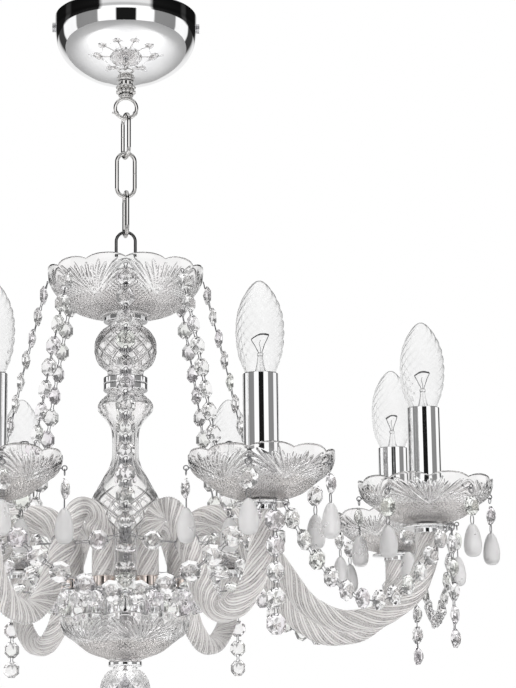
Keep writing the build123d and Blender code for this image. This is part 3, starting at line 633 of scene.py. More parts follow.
P = Parts()
bc = -187.65 - 1.3 - 7.95
bail = [(7.95, 0, -229.8 + (bc + 229.8) * k / 12) for k in range(12)]
bail += [(7.95 * math.cos(t), 0, bc + 7.95 * math.sin(t)) for t in np.linspace(0, math.pi, 36)]
bail += [(-7.95, 0, bc + (-229.8 - bc) * k / 12) for k in range(1, 13)]
P.add(*tube(bail, 1.28, 16))
place(P.make("wire_bail", [BAIL_SHADE_CHROME]), BODY, "chrome", "bail")

# ---- stem
P = Parts()


def knurl(th, r, z):
    side = (r > 10.6)
    return r - side * 0.35 * (0.5 + 0.5 * np.cos(36 * th)), z


P.add(*lathe(rounded([(5.02, -222.0), (8.6, -222.0), (11.0, -224.4), (11.0, -232.6), (9.0, -235.0), (5.02, -235.0)], 0.6), 144, shape=knurl))
place(P.make("rod_top_nut", [CHROME]), BODY, "chrome", "bail_nut")

dome = smooth_line([(5.3, -235.2), (12.0, -236.6), (18.0, -241.6), (21.3, -249.0), (22.0, -256.9)], 5)
dome_i = smooth_line([(20.0, -256.9), (19.4, -250.0), (16.6, -243.6), (11.0, -239.2), (5.3, -238.0)], 5)
P = Parts()
P.add(*lathe(np.concatenate([dome, dome_i]), 96, shape=lambda th, r, z: (r - 0.4 * (r > 12) * (0.5 - 0.5 * np.cos(16 * th)), z)))
place(P.make("cover_dome", [CLEAR]), BODY, "clear_glass", "glass_dome")


RAYS = 9


def cut_bowl(profile, wall, base_z, rim_z, bore, fans, first_fan, depth=3.2, seg=400, rows=64, apex_up=0.24):
    """Scalloped pressed bowl with cut fans, V lines between them and a stippled foot.

    first_fan is the azimuth of one fan's middle. The rim has two scallops to each fan,
    with a valley at the middle of a fan and one between fans."""
    outer = smooth_line(profile, 10)
    cum = np.concatenate([[0], np.cumsum(np.linalg.norm(np.diff(outer, axis=0), axis=1))])
    total = cum[-1]
    s = np.linspace(0, total, rows)
    o = np.stack([np.interp(s, cum, outer[:, k]) for k in range(2)], axis=1)
    nrm = np.gradient(o, axis=0)
    nrm = np.stack([-nrm[:, 1], nrm[:, 0]], axis=1)
    nrm /= np.linalg.norm(nrm, axis=1)[:, None]
    if nrm[0, 0] < 0:
        nrm = -nrm
    floor_z = base_z + wall + 0.2
    thin = wall * (0.48 + 0.52 * np.clip(s / (0.5 * total), 0, 1))[:, None]
    inn = o - nrm * thin
    inn[:, 1] = np.maximum(inn[:, 1], floor_z)
    inn = inn[inn[:, 0] > bore + 1.5]
    inn = inn[::2][::-1]
    n_o = len(o)
    lip = []
    a, b = o[0] - nrm[0] * thin[0], o[0]
    for k in range(1, 4):
        t = math.pi * k / 4
        c = (a + b) / 2
        lip.append(c + (b - a) / 2 * math.cos(math.pi - t) + np.array([0, 1.0]) * (wall / 2) * math.sin(t) * 0.5 - np.array([0, 0.6]))
    loop = np.concatenate([o, [(bore, base_z), (bore, floor_z)], inn, lip])
    th = np.linspace(0, 2 * math.pi, seg, endpoint=False)
    T = np.repeat(th[None, :], len(loop), axis=0)
    R = np.repeat(loop[:, 0][:, None], seg, axis=1)
    Z = np.repeat(loop[:, 1][:, None], seg, axis=1)
    # cuts, on the outer wall only
    f_w = 2 * math.pi / fans
    rel = (T[:n_o] - math.radians(first_fan) + f_w / 2) % f_w - f_w / 2
    run = np.repeat((total - s)[:, None], seg, axis=1)
    apex = apex_up * total
    x = rel * np.maximum(R[:n_o], 0.55 * R[0, 0])
    y = run - apex
    beta = np.degrees(np.arctan2(np.abs(x), y))
    bmax = math.degrees(math.atan2(f_w / 2 * R[0, 0] * 0.96, total - apex - 5.0))
    from_rim = total - run
    rad = np.hypot(x, y)
    inside = (beta < bmax - 1.5) & (y > 0)
    step_ = 2 * bmax / RAYS
    # sideways distance from the middle of the nearest ray, and the half width of its leaf-shaped cut there
    off_ray = np.abs((beta / step_ + 0.5) % 1.0 - 0.5) * np.radians(step_) * rad
    end = np.clip((from_rim - 4.0 - 3.0 * (np.round(beta / step_) % 2)) / 5.0, 0, 1)
    half_w = np.minimum(0.46 * np.radians(step_) * rad, 1.9) * np.sqrt(end) + 1e-6
    leaf = np.clip(1 - off_ray / half_w, 0, 1)
    cutd = np.where(inside, 0.82 * half_w * leaf * np.clip((rad - 2.0) / 4.0, 0, 1), 0.0)
    for extra, wide_, deep in ((0.0, 1.3, 1.05), (7.0, 0.9, 0.75), (13.0, 0.7, 0.55)):
        off = np.abs(beta - bmax - extra) * rad * math.pi / 180
        cutd = np.maximum(cutd, np.where(y > -2, deep * np.clip(1 - off / wide_, 0, 1) * np.clip((from_rim - 1.5) / 3.0, 0, 1)
                                         * np.clip((rad - 1.0) / 4.0, 0, 1), 0.0))
    # stippled ground under and between the fans
    ground = (beta > bmax + 15.0) & (from_rim > 7.0) & (run > 2.5)
    gx = T[:n_o] * R[:n_o] * 1.0
    stip = np.abs(np.sin(T[:n_o] * fans * 6 + run * 0.75)) * np.abs(np.sin(T[:n_o] * fans * 6 - run * 0.75))
    cutd += np.where(ground, 1.0 * stip, 0.0)
    # painted shade: thin lines along the fans' leaves and the V cuts, and the deep lines of the stippling, take the
    # dark edge glass (2); the rest of the stippled ground takes the stippled glass (1)
    fine = (inside & (leaf > 0.02) & (leaf < 0.30) & (rad > 4.0)) | (~ground & (cutd > 0.03) & (cutd < 0.30) & ~inside & (from_rim > 2.0))
    ground_and_edge_shade = np.where(ground & (y < 3.0), np.where(stip < 0.10, 2, 1), np.where(fine, 2, 0))[:-1, :]
    R[:n_o] -= cutd * np.maximum(nrm[:, 0][:, None], 0.25)
    Z[:n_o] -= cutd * nrm[:, 1][:, None]
    # scallops
    lobes = 2 * fans
    u = ((T - math.radians(first_fan)) * lobes / (2 * math.pi)) % 1.0 * 2 - 1
    top = loop[:, 1].max()
    w = np.clip((Z - (top - 19.0)) / 19.0, 0, 1) ** 1.5
    Z = Z - depth * w * np.abs(u) ** 2.6
    R = R * (1 - 0.018 * w * np.abs(u) ** 2.2 * (Z > base_z + 8))
    pts = np.stack([R * np.cos(T), R * np.sin(T), Z], axis=-1)
    v, f = grid(pts, close_u=True, close_v=True)
    f = facing_out(loop, f)
    which = np.zeros((len(loop), seg), dtype=int)
    which[:n_o - 1] = ground_and_edge_shade
    return v, f, which.reshape(-1).tolist()


DISH = [(65.0, -222.2), (64.8, -227.0), (63.4, -232.0), (60.6, -238.0), (56.8, -243.2), (52.3, -247.4), (47.6, -251.8), (42.0, -255.8),
        (34.0, -258.6), (26.0, -259.9), (18.0, -260.6)]
P = Parts()
P.add(*cut_bowl(DISH, 2.6, -260.6, -222.0, 5.3, 6, 30.0 - 90.0, 3.4, 540, 84, 0.47))
place(P.make("top_bowl", [CLEAR, GROUND, EDGE_SHADE_GLASS]), BODY, "clear_glass", "top_dish")


def chrome_ring(name, loops, *nodes):
    P_ = Parts()
    for lp_ in loops:
        P_.add(*lathe(rounded(lp_, 0.5, 4), 96))
    return place(P_.make(name, [CHROME]), BODY, "chrome", *nodes)


chrome_ring("chrome_ring_top", [[(5.1, -260.65), (17.8, -260.65), (18.4, -261.2), (18.4, -265.8), (17.8, -266.35), (5.1, -266.35)]], "upper_ring")
chrome_ring("chrome_ring_double", [[(5.1, -312.85), (17.8, -312.85), (18.4, -313.4), (18.4, -317.9), (17.8, -318.45), (5.1, -318.45)],
                                   [(5.1, -318.55), (17.8, -318.55), (18.4, -319.1), (18.4, -323.6), (17.8, -324.15), (5.1, -324.15)]], "ring_pair")


def resampled(line, step, zone=None, coarse=1.5):
    """Points of a line at an even spacing, finer where z is inside the zone."""
    cum = np.concatenate([[0], np.cumsum(np.linalg.norm(np.diff(line, axis=0), axis=1))])
    at, out_ = 0.0, []
    while at < cum[-1]:
        out_.append(at)
        z = np.interp(at, cum, line[:, 1])
        at += step if zone is None or zone[0] < z < zone[1] else coarse
    out_.append(cum[-1])
    return np.stack([np.interp(out_, cum, line[:, k]) for k in range(2)], axis=1)


def shade_lines_of(loop, seg, phase_a, phase_b, lo, hi, zlo, zhi, rmin):
    """Material numbers of a turned loop: 1 on the two edges of each lattice groove, where the dark edge glass paints
    shade.
    """
    m = len(loop)
    mid = (loop + np.roll(loop, -1, axis=0)) / 2
    th = (np.arange(seg) + 0.5) * 2 * math.pi / seg
    T, R, Z = np.repeat(th[None, :], m, axis=0), np.repeat(mid[:, :1], seg, axis=1), np.repeat(mid[:, 1:], seg, axis=1)
    out_ = np.zeros((m, seg), dtype=int)
    for ph in (phase_a, phase_b):
        d = np.abs((ph(T, Z) + 0.5) % 1.0 - 0.5)
        out_ |= ((d > lo) & (d < hi)).astype(int)
    out_ *= ((Z > zlo) & (Z < zhi) & (R > rmin)).astype(int)
    return out_


def v_cut(phase, width):
    """Depth of a V groove whose middle is where phase is a whole number."""
    d = np.abs((phase + 0.5) % 1.0 - 0.5)
    return np.clip(1 - d / width, 0, 1)


def ball_cuts(th, r, z):
    on = (z < -271.0) & (z > -306.4) & (r > 8) & (r > outer_r(z, BALL_O) - 0.4)
    h = (z + 288.4) / 34.0
    n = 12
    a = v_cut(th * n / (2 * math.pi) + h * 2.8, 0.12)
    b = v_cut(th * n / (2 * math.pi) - h * 2.8, 0.12)
    d = np.maximum(a, b) * np.clip((r - 15.5) / 3.0, 0, 1)
    return r - on * 0.80 * d, z


BALL_O = smooth_line([(15.0, -270.7), (17.4, -271.5), (21.5, -275.4), (24.8, -281.6), (25.7, -288.4), (25.0, -295.0), (22.1, -301.2),
                      (17.8, -305.5), (15.0, -307.4)], 20)
BALL_O = resampled(BALL_O, 0.5)
BALL_I = smooth_line([(11.6, -310.4), (12.0, -306.4), (14.4, -303.8), (19.4, -299.6), (22.2, -294.4), (22.9, -288.4), (22.0, -282.6),
                      (18.8, -277.0), (12.8, -272.6), (5.4, -269.6)], 6)


def outer_r(z, line):
    o_ = line[np.argsort(line[:, 1])]
    return np.interp(z, o_[:, 1], o_[:, 0])


ball = np.concatenate([[(5.3, -266.5), (14.7, -266.5), (14.9, -267.6), (14.7, -270.0)], BALL_O,
                       [(14.8, -309.0), (14.7, -312.75), (5.3, -312.75), (5.3, -310.6)], BALL_I])
P = Parts()
SEG_B = 336
# painted shade: the dark edge glass along the lattice grooves of the ball
bm = shade_lines_of(ball, SEG_B, lambda t_, z_: t_ * 12 / (2 * math.pi) + (z_ + 288.4) / 34.0 * 2.8, lambda t_, z_: t_ * 12 / (2 * math.pi) - (z_ + 288.4) / 34.0 * 2.8,
              0.07, 0.125, -305.0, -272.0, 15.5)
bm[len(BALL_O) + 4:] = 0
P.add(*lathe(ball, SEG_B, shape=ball_cuts), bm.reshape(-1).tolist())
place(P.make("cut_ball", [CUT, EDGE_SHADE_GLASS]), BODY, "clear_glass", "glass_ball")


def vase_cuts(th, r, z):
    skin = r > outer_r(z, VASE_O) - 0.4
    up_ = z > -404.0
    flute = 12
    d = np.abs(np.sin(th * flute / 2.0))
    fl = (1 - d) * 0.8 * np.clip((-346.0 - z) / 8.0, 0, 1) * np.clip((z + 404.0) / 10.0, 0, 1) * (r > 7)
    fl2 = (1 - np.abs(np.sin(th * 8.0))) * 0.8 * np.clip((-328.5 - z) / 2.0, 0, 1) * np.clip((z + 346.0) / 4.0, 0, 1) * (r > 12)
    low = (~up_) & (z > -456.0) & (r > 8)
    h = (-z - 404.0) / 48.0
    n = 10
    g = np.maximum(v_cut(th * n / (2 * math.pi) + h * 3.7, 0.085), v_cut(th * n / (2 * math.pi) - h * 3.7, 0.085))
    cut = low * 0.80 * g * np.clip((-404.0 - z) / 3.0, 0, 1) * np.clip((r - 9.0) / 3.0, 0, 1)
    return r - skin * (fl + fl2 + cut), z


VASE_O = smooth_line([(15.4, -327.4), (19.2, -330.8), (22.4, -334.8), (22.8, -339.4), (19.7, -343.8), (15.3, -349.0), (12.4, -354.6),
                      (11.2, -362.0), (11.1, -377.0), (12.4, -384.0), (15.6, -391.0), (22.4, -403.6), (26.2, -410.4), (26.9, -415.0),
                      (24.6, -420.5), (17.6, -431.0), (11.2, -441.5), (9.5, -450.0), (9.4, -462.0), (10.4, -474.9)], 20)
VASE_O = resampled(VASE_O, 0.5, (-456.0, -404.0), 1.3)
VASE_I = smooth_line([(6.6, -472.2), (6.6, -462.0), (6.8, -450.0), (8.4, -440.6), (14.8, -430.0), (21.8, -419.2), (23.9, -415.0),
                      (23.2, -411.4), (19.4, -405.2), (12.6, -392.4), (9.5, -385.0), (8.1, -377.0), (8.1, -362.0), (9.2, -354.6),
                      (12.2, -347.4), (17.0, -341.8), (19.5, -336.8), (16.6, -332.4), (11.6, -329.4), (5.4, -327.4)], 4)
vase = np.concatenate([[(5.3, -324.3), (15.0, -324.3), (15.2, -325.4)], VASE_O, [(5.3, -474.95), (5.3, -472.4)], VASE_I])
P = Parts()
SEG_V = 320
# painted shade: the dark edge glass along the lattice grooves of the column
vm = shade_lines_of(vase, SEG_V, lambda t_, z_: t_ * 10 / (2 * math.pi) + (-z_ - 404.0) / 48.0 * 3.7, lambda t_, z_: t_ * 10 / (2 * math.pi) - (-z_ - 404.0) / 48.0 * 3.7,
              0.045, 0.09, -456.0, -407.0, 9.6)
vm[len(VASE_O) + 3:] = 0
P.add(*lathe(vase, SEG_V, shape=vase_cuts), vm.reshape(-1).tolist())
place(P.make("cut_column", [CUT, EDGE_SHADE_GLASS]), BODY, "clear_glass", "glass_column")

# ---- hub and foot
hub_p = rounded([(5.1, -475.0), (11.0, -475.0), (13.0, -477.4), (17.0, -479.4), (21.0, -482.0), (26.0, -488.0), (57.0, -488.0), (58.0, -489.0),
                 (58.0, -493.0), (31.0, -493.0), (31.0, -528.0), (29.0, -528.0), (29.0, -491.0), (5.1, -491.0)], 0.8, 3)
P = Parts()
P.add(*lathe(hub_p, 128))
place(P.make("hub_plate", [CHROME]), BODY, "chrome", "hub_body")
chrome_ring("hub_lid", [[(5.1, -528.05), (31.0, -528.05), (31.0, -529.4), (28.0, -531.0), (5.1, -531.0)]], "hub_cover")
P = Parts()
fer = rounded([(8.85, -486.6), (8.85, -480.0), (9.2, -479.7), (9.8, -480.2), (9.8, -487.6), (9.6, -487.98), (3.2, -487.98), (3.2, -487.0)], 0.15, 2)
fv_, ff_ = lathe(fer, 64)
for t in ARM_AZ:
    P.add(fv_, ff_, at=rot_z(t - 90) @ shift(46.0, 0, 0))
place(P.make("arm_sockets", [FERRULE]), BODY, "chrome", "arm_ferrules")

BOWL = [(52.3, 35.3), (52.2, 31.0), (51.2, 26.5), (49.4, 22.6), (46.4, 19.4), (42.5, 16.6), (38.6, 13.6), (34.6, 10.4), (30.0, 7.0),
        (24.0, 4.4), (17.0, 2.2), (12.0, 0.0)]
P = Parts()
P.add(*cut_bowl([(r, -543.0 + h) for r, h in BOWL], 2.6, -543.0, -507.5, 5.3, 5, 0.0, 3.2, 500, 76, 0.48))
place(P.make("foot_bowl", [CLEAR, GROUND_SHADED, EDGE_SHADE_GLASS]), BODY, "clear_glass", "lower_dish")
chrome_ring("chrome_ring_foot", [[(5.1, -543.05), (12.6, -543.05), (13.6, -544.2), (13.6, -546.8), (12.6, -547.95), (5.1, -547.95)]], "lower_ring")


def foot_cuts(th, r, z):
    h = (z + 568.0) / 30.0
    g = np.maximum(v_cut(th * 12 / (2 * math.pi) + h * 2.4, 0.17), v_cut(th * 12 / (2 * math.pi) - h * 2.4, 0.17))
    return r - 1.0 * g * np.clip((r - 11.5) / 3.0, 0, 1), z


P = Parts()
P.add(*lathe(np.concatenate([[(5.3, -548.05), (9.5, -548.05)],
                             smooth_line([(10.0, -549.4), (15.6, -553.2), (19.2, -560.0), (20.0, -567.5), (18.6, -575.0), (14.6, -581.6),
                                          (9.6, -585.6)], 8), [(8.6, -587.95), (5.3, -587.95)]]), 288, shape=foot_cuts))
place(P.make("cut_foot_ball", [CUT]), BODY, "clear_glass", "foot_ball")
P = Parts()
P.add(*lathe(rounded([(0.05, -588.05), (8.0, -588.05), (9.0, -590.0), (8.0, -592.6), (5.6, -595.0), (6.2, -597.2), (4.4, -599.3), (0.05, -600.0)], 0.7, 3), 64))
place(P.make("finial", [CHROME]), BODY, "chrome", "finial_nut")

# ---- glass arms
ARM_ROUTE = [(46.0, -487.0), (46.0, -449.0), (66.0, -430.6), (95.0, -430.6), (127.0, -469.0), (152.0, -505.0), (180.0, -520.0),
             (214.0, -516.0), (240.0, -499.0), (250.6, -473.0), (250.6, -450.0)]
ARM_RADII = [19.0, 22.0, 26.0, 90.0, 45.0, 40.0, 40.0, 34.0, 30.0]
route = fillet_route(ARM_ROUTE, ARM_RADII, 1.0)
path3 = np.stack([route[:, 0], np.zeros(len(route)), route[:, 1]], axis=1)


def rope(phi, s, r):
    w = np.abs(np.sin(11.0 * phi))
    plain = np.clip((s - 11.0) / 6.0, 0, 1) * np.clip((s[-1] - 3.0 - s) / 3.0, 0, 1)
    return r - 0.05 - plain * 0.60 * (1 - w)


TWIST = 2 * math.pi / 84.0
SEG_A = 176
# the strand count fits the columns, so that every strand has the same number of them
arm_v, arm_f = tube(path3, 8.8, SEG_A, shape=rope, turn=TWIST)
strand = (np.arange(SEG_A) + 0.5) * 22.0 / SEG_A
# painted shade: strands take the greyer copy (1) at random, and the faces at each strand's edge take the dark groove
# glass (2)
kind = np.array([0, 1, 0, 0, 1, 0, 0, 1, 0, 1, 0, 0, 0, 1, 0, 0, 1, 1, 0, 0, 1, 0])[(strand % 22).astype(int)]
kind = np.where(np.abs(strand % 1.0 - 0.5) > 0.40, 2, kind)
arm_i = np.tile(kind, len(path3) - 1).tolist() + [0, 0]
arm_mesh = None
for k, t in enumerate(ARM_AZ):
    P = Parts()
    P.add(arm_v, arm_f, arm_i, at=rot_z(t - 90))
    place(P.make("rope_arm_%d" % (k + 1), [ROPE, ROPE_SHADED_STRAND, ROPE_GROOVE_SHADE]), BODY, "ribbed_glass", "glass_arm_%d" % (k + 1))


def at_tip(t, turn=0.0):
    return rot_z(t - 90) @ shift(R_CANDLE, 0, 0) @ rot_z(turn)


# ---- arm tips
P = Parts()
plate = rounded([(4.97, -450.0), (4.97, -448.02), (19.0, -448.02), (20.0, -449.0), (19.6, -450.0), (9.85, -450.2), (9.8, -454.0), (8.85, -454.0),
                 (8.85, -450.2)], 0.3, 2)
pv, pf = lathe(plate, 96, shape=lambda th, r, z: (r - 0.7 * (r > 18.5) * (0.5 - 0.5 * np.cos(20 * th)), z))
for t in ARM_AZ:
    P.add(pv, pf, at=at_tip(t))
place(P.make("bowl_plates", [CHROME]), BODY, "chrome", "tip_plates")

bob_v, bob_f, bob_i = cut_bowl([(r, BASE_Z + h) for r, h in BOWL], 2.6, BASE_Z, RIM_Z, 5.3, 5, 0.0, 3.2, 500, 76, 0.48)
for k, t in enumerate(ARM_AZ):
    P = Parts()
    P.add(bob_v, bob_f, bob_i, at=at_tip(t))
    ob = P.make("drip_bowl_%d" % (k + 1), [CLEAR, GROUND_SHADED, EDGE_SHADE_GLASS])
    place(ob, BODY, "clear_glass", "bobeches")

P = Parts()
tb = rounded([(12.8, -444.9), (12.8, -356.3), (12.5, -356.0), (12.0, -356.0), (11.8, -356.4), (11.8, -444.9)], 0.2, 2)
tv, tf = lathe(tb, 96)
for t in ARM_AZ:
    P.add(tv, tf, at=at_tip(t))
place(P.make("candle_sleeves", [CHROME]), BODY, "chrome", "candle_tubes")

# ---- bulbs
ENV = smooth_line([(7.0, -356.7), (9.6, -356.0), (11.0, -354.6), (11.9, -352.6), (13.2, -349.6), (15.0, -345.0), (16.7, -337.6), (17.5, -329.0),
                   (17.5, -321.5), (16.5, -312.6), (13.8, -303.8), (10.0, -296.4), (6.0, -291.0), (3.0, -288.4), (1.2, -287.6)], 6)


def twist(th, r, z):
    w = np.abs(np.sin(6.0 * th))
    amount = np.clip((z + 352.0) / 8.0, 0, 1) * np.clip((-288.5 - z) / 6.0, 0, 1)
    return r - amount * 0.055 * r * (1 - w * w), z


inner = ENV.copy()[::-1]
inner[:, 0] = np.maximum(inner[:, 0] - 0.34, 0.25)
inner[:, 1] -= np.clip((inner[:, 1] + 300.0) / 12.0, 0, 1) * 0.34
env_v, env_f = lathe(np.concatenate([ENV, inner]), 192, shape=twist, turn=2 * math.pi / 92.0)
cap_p = [(0.4, -357.2), (6.9, -357.2), (7.0, -359.0)]
for k in range(7):
    z = -361.0 - k * 2.4
    cap_p += [(6.35, z), (6.95, z - 1.2)]
cap_p += [(5.2, -379.0), (4.0, -381.8), (2.6, -383.4), (0.4, -383.6)]
cap_v, cap_f = lathe(cap_p, 48)
stem_v, stem_f = lathe(rounded([(0.3, -356.4), (5.0, -356.4), (3.4, -352.0), (2.3, -347.0), (1.9, -343.0), (2.6, -341.4), (1.6, -340.2),
                                (0.3, -340.0)], 0.6, 3), 32)
leads = [[(-1.0, 0, -341.0), (-1.6, 0, -339.4), (-3.6, 0, -335.6), (-6.0, 0, -331.4), (-6.3, 0.3, -330.4)],
         [(1.0, 0, -341.0), (1.4, 0, -339.4), (3.4, 0, -334.0), (6.0, 0, -328.4), (6.3, 0.3, -327.2)]]
sup = [(0, 0, -341.0), (0.3, 0.2, -337.0), (-0.6, 0.4, -333.6), (0.2, 0.4, -331.0)]
coil = []
for k in range(210):
    a = k / 209
    x = -6.3 + 12.6 * a
    zc = -330.4 + 3.2 * a + 1.8 * math.sin(math.pi * a)
    coil.append((x, 0.3 + 0.6 * math.sin(k * 1.05), zc + 0.6 * math.cos(k * 1.05)))
TUNG = metal("tungsten", (0.10, 0.10, 0.11), (0.26, 0.26, 0.27), 0.3, 0.45, 200.0)
BRASSY = metal("bulb_cap", (0.62, 0.61, 0.58), (0.74, 0.73, 0.70), 0.18, 0.32, 120.0)
for k, t in enumerate(ARM_AZ):
    m = at_tip(t, -t + 90 + (17.0 * k) % 60)
    P = Parts()
    P.add(env_v, env_f, 0, at=m)
    P.add(cap_v, cap_f, 1, at=m)
    P.add(stem_v, stem_f, 0, at=m)
    for l in leads:
        P.add(*tube(smooth_line(l, 5), 0.28, 8), 2, at=m)
    P.add(*tube(sup, 0.2, 6), 2, at=m)
    P.add(*tube(coil, 0.16, 5), 2, at=m)
    place(P.make("candle_bulb_%d" % (k + 1), [BULB, BRASSY, TUNG]), "bulb_body_%d" % (k + 1), "bulb_glass", "bulb_%d" % (k + 1))


# ---- crystals
def octagon(d, t, table=0.58, edge=0.6):
    """Cut octagon: flats across X and Y, a table in front, a pavilion of facets behind."""
    R = d / 2 / math.cos(math.radians(22.5))
    v, f = [], []
    for z in (edge, -edge):
        for k in range(8):
            a = math.radians(22.5 + 45 * k)
            v.append((R * math.cos(a), R * math.sin(a), z))
    for ratio, z in ((table, t / 2), (0.5, -0.66 * t / 2)):
        for k in range(8):
            a = math.radians(22.5 + 45 * k)
            v.append((R * ratio * math.cos(a), R * ratio * math.sin(a), z))
    v.append((0, 0, -t / 2))
    for k in range(8):
        n = (k + 1) % 8
        f.append((k, 8 + k, 8 + n, n))
        f.append((k, n, 16 + n, 16 + k))
        f.append((8 + k, 24 + k, 24 + n, 8 + n))
        f.append((24 + k, 32, 24 + n))
    f.append(tuple(16 + k for k in range(8)))
    return np.array(v), f


OV, OF = octagon(14.5, 6.6)
OV14, OF14 = octagon(14.0, 6.2)


def outward(v, faces):
    """Turns faces so that they look away from the middle."""
    c = v.mean(axis=0)
    res = []
    for f in faces:
        p = v[list(f)]
        n = np.cross(p[1] - p[0], p[2] - p[0])
        res.append(tuple(f) if np.dot(n, p.mean(axis=0) - c) > 0 else tuple(reversed(f)))
    return res


OF, OF14 = outward(OV, OF), outward(OV14, OF14)


def jump_ring(a, b, side, wide=2.3, wire=0.36, reach=1.9):
    """A waisted wire clip through the edges of two crystals, from a to b."""
    a, b = np.asarray(a), np.asarray(b)
    d = b - a
    L = np.linalg.norm(d)
    d = d / L
    s = np.asarray(side, dtype=np.float64)
    s = s - d * np.dot(s, d)
    s /= np.linalg.norm(s)
    mid_, h = (a + b) / 2, L / 2 + reach
    pts = []
    for t in np.linspace(0, 2 * math.pi, 22, endpoint=False):
        c, q_ = math.cos(t), math.sin(t)
        pts.append(mid_ + d * h * np.sign(c) * abs(c) ** 0.8 + s * wide * q_ * (0.35 + 0.95 * abs(c) ** 1.2))
    return tube(pts, wire, 7, closed=True)


def string_places(points, count, lead, tail):
    p = np.asarray(points, dtype=np.float64)
    cum = np.concatenate([[0], np.cumsum(np.linalg.norm(np.diff(p, axis=0), axis=1))])
    total = cum[-1]
    res = []
    for i in range(count):
        s = lead + (total - lead - tail) * (i / (count - 1) if count > 1 else 0.5)
        j = min(max(int(np.searchsorted(cum, s)) - 1, 0), len(p) - 2)
        fr = (s - cum[j]) / (cum[j + 1] - cum[j])
        t = p[j + 1] - p[j]
        res.append((p[j] + t * fr, t / np.linalg.norm(t)))
    return res


XTAL, HARD = Parts(), Parts()
rng = np.random.default_rng(11)


def string_of(points, count, lead, tail, face, at, ends=(True, True), swing=7.0):
    places = string_places(points, count, lead, tail)
    ends_ = []
    for i, (c, t) in enumerate(places):
        n = np.asarray(face, dtype=np.float64)
        m = basis(c, t, n)
        lean = math.radians(float(rng.normal(0, swing)))
        m = m @ np.array(Matrix.Rotation(lean, 4, "X"))
        XTAL.add(OV, OF, 0, False, at=at @ m)
        ends_.append((c - t * 7.0, c + t * 7.0, t))
    for i in range(len(ends_) - 1):
        side = (0.25, 1, 0) if i % 2 else (0.5, 1, 0.3)
        HARD.add(*jump_ring(ends_[i][1], ends_[i + 1][0], side), at=at)
    if ends[0]:
        HARD.add(*jump_ring(points[0], ends_[0][0], (0.2, 1, 0), reach=1.0), at=at)
    if ends[1]:
        HARD.add(*jump_ring(ends_[-1][1], points[-1], (0.2, 1, 0), reach=1.0), at=at)


upper = smooth_line([(64.6, 0, -232.4), (72.0, 0, -262.0), (84.0, 0, -310.0), (95.5, 0, -362.0), (107.0, 0, -410.0), (117.0, 0, -444.0),
                     (CROSS_R, 0, CROSS_Z + 2.2)], 30)
lower = smooth_line([(CROSS_R, 0, CROSS_Z - 2.2), (108.0, 0, -474.0), (84.0, 0, -486.4), (60.5, 0, -490.0)], 30)
cross = smooth_line([(CROSS_R, 2.2, CROSS_Z), (118.0, 18.0, CROSS_Z - 4.0), (115.3, 36.9, -461.8)], 30)
hx = R_CANDLE + HOOK_X * math.cos(math.radians(HOOK_TURN))
hy = HOOK_X * math.sin(math.radians(HOOK_TURN))
half = math.radians(22.5)
plane_x = hx * math.cos(half) + hy * math.sin(half)
half_chord = hx * math.sin(half) - hy * math.cos(half)
garland = np.array([(plane_x, y, HOOK_Z - 60.0 * (1 - (y / half_chord) ** 2)) for y in np.linspace(-half_chord, half_chord, 161)])
tail_line = np.array([(R_CANDLE + HOOK_X, 0, HOOK_Z - i) for i in range(0, 92, 2)])
for a in STRING_AZ:
    L = rot_z(a - 90)
    string_of(upper, 12, 11.0, 10.5, (1, 0, 0), L)
    string_of(lower, 4, 10.0, 9.5, (0.3, 0, 0.95), L)
    string_of(cross, 1, 2.0, 0.0, (1, 0, 0), L)
    string_of(cross * np.array([1, -1, 1]), 1, 2.0, 0.0, (1, 0, 0), L)
    ringp = [(CROSS_R, 1.6 * math.cos(t), CROSS_Z + 1.6 * math.sin(t)) for t in np.linspace(0, 2 * math.pi, 20, endpoint=False)]
    HARD.add(*tube(ringp, 0.4, 7, closed=True), at=L)
    string_of(garland, 12, 10.5, 10.5, (1, 0, 0), L)
for t in ARM_AZ:
    L = rot_z(t - 90)
    string_of(tail_line, 5, 11.0, 7.3, (1, 0, 0), L, ends=(True, False))
    for b in (-HOOK_TURN, 0.0, HOOK_TURN):
        hp = [(HOOK_X + 2.4 * math.cos(p_), 0, -449.0 + 2.4 * math.sin(p_)) for p_ in np.linspace(0, 2 * math.pi, 24, endpoint=False)]
        HARD.add(*tube(hp, 0.4, 7, closed=True), at=at_tip(t, b))
    d = np.array([32.0, 0, -38.4]) / math.hypot(32.0, 38.4)
    u = np.cross(d, [0, 1, 0])
    cp = [np.array([121.0, 0, -461.8]) + 9.3 * (math.cos(p_) * u + math.sin(p_) * np.array([0, 1, 0])) for p_ in
          np.linspace(0, 2 * math.pi, 40, endpoint=False)]
    HARD.add(*tube(cp, 0.45, 7, closed=True), at=L)
for k in range(24):
    L = rot_z(15.0 * (k + 0.5))
    m = basis((61.4, 0, -497.6), (0, 0, 1), (1, 0, 0))
    XTAL.add(OV14, OF14, 0, False, at=L @ m)
    HARD.add(*jump_ring((61.4, 0, -491.2), (60.6, 0, -488.6), (0, 1, 0), reach=1.2), at=L)
place(XTAL.make("octagon_strings", [CRYSTAL]), BODY, "crystal", "string_crystals")
place(HARD.make("string_rings", [WIRE]), BODY, "chrome", "string_wires")

# ---- pendants
DROP = smooth_line([(0.3, -452.0), (1.8, -452.7), (3.5, -454.7), (5.1, -458.3), (6.3, -463.3), (6.85, -468.4), (6.2, -473.2), (4.6, -475.8),
                    (2.4, -476.9), (0.3, -477.0)], 6)
dv, df = lathe(DROP, 48, closed=False)
dv = dv * np.array([0.96, 1.05, 1.0])


def ring_at(x, z, major, wire, plane="yz", seg=26):
    pts = []
    for t in np.linspace(0, 2 * math.pi, seg, endpoint=False):
        c, s_ = major * math.cos(t), major * math.sin(t)
        pts.append((x, c, z + s_) if plane == "yz" else (x + c, 0, z + s_))
    return tube(pts, wire, 8, closed=True)


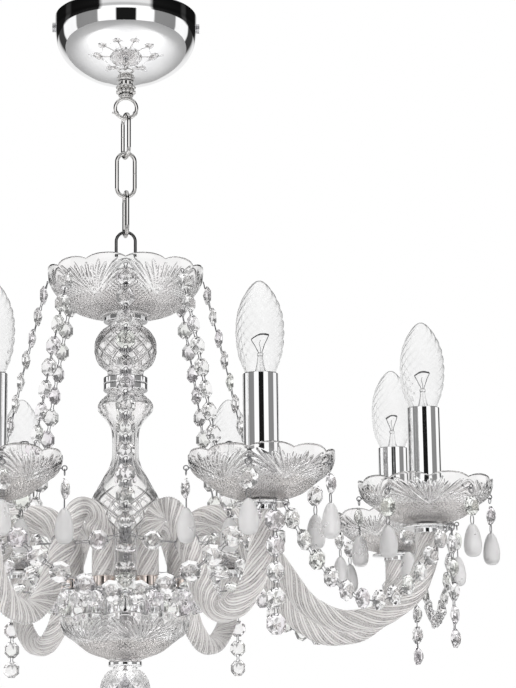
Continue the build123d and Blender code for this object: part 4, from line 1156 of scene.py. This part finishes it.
def pendant(parts, at, lean):
    m = at @ shift(HANG_R, 0, 0)
    parts.add(*ring_at(0, -426.9, 2.2, 0.4), 2, at=m)
    crystal = basis((0, 0, -438.6), (0, 0, 1), (1, 0, 0)) @ np.array(Matrix.Rotation(math.radians(lean * 0.4), 4, "X"))
    parts.add(OV14, OF14, 0, False, at=m @ crystal)
    loop = [(0.0, 1.5 * math.cos(t), -449.2 + 4.0 * math.sin(t)) for t in np.linspace(0, 2 * math.pi, 24, endpoint=False)]
    parts.add(*tube(loop, 0.36, 7, closed=True), 2, at=m)
    parts.add(dv, df, 1, at=m @ rot_z(lean))


still, pins = Parts(), Parts()
for k, t in enumerate(ARM_AZ):
    for j, a in enumerate(PENDANT_AT):
        at = at_tip(t, a)
        lean = float(rng.normal(0, 16.0))
        eye = [(HANG_R + 1.7 * math.cos(p_), 0, PIN_Z + 1.7 * math.sin(p_)) for p_ in np.linspace(0, 2 * math.pi, 20, endpoint=False)]
        pins.add(*tube(eye, 0.45, 7, closed=True), at=at)
        pins.add(*tube([(45.4, 0, PIN_Z), (48.6, 0, PIN_Z), (51.9, 0, PIN_Z)], 0.5, 8), at=at)
        hv, hf = lathe([(0.1, -0.4), (1.1, -0.4), (1.3, 0.0), (1.1, 0.4), (0.1, 0.4)], 14)
        pins.add(hv, hf, at=at @ basis((45.4, 0, PIN_Z), (0, 0, 1), (1, 0, 0)))
        if j == 0:
            P = Parts()
            pendant(P, at, lean)
            place(P.make("swing_pendant_%d" % (k + 1), [CRYSTAL, FROST, WIRE]), "pendant_body_%d" % (k + 1), "frosted_glass", "pendant_%d" % (k + 1))
        else:
            pendant(still, at, lean)
place(still.make("hanging_pendants", [CRYSTAL, FROST, WIRE]), BODY, "frosted_glass", "pendants_fixed")
place(pins.make("pendant_hooks", [WIRE]), BODY, "chrome", "pendant_pins")

# ---- solids that stay as they are, with their own finish
KEEP = {"ceiling_bracket": STEEL, "canopy_side_screws": STEEL, "ring_nut": STEEL, "centre_rod": STEEL, "tip_nipples": STEEL,
        "terminal_block": WHITE, "cord_bush": WHITE, "lamp_holders": WHITE}
for name, mat in KEEP.items():
    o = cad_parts[name]
    if not o.material_slots:
        o.data.materials.append(mat)
    for s in o.material_slots:
        s.material = mat
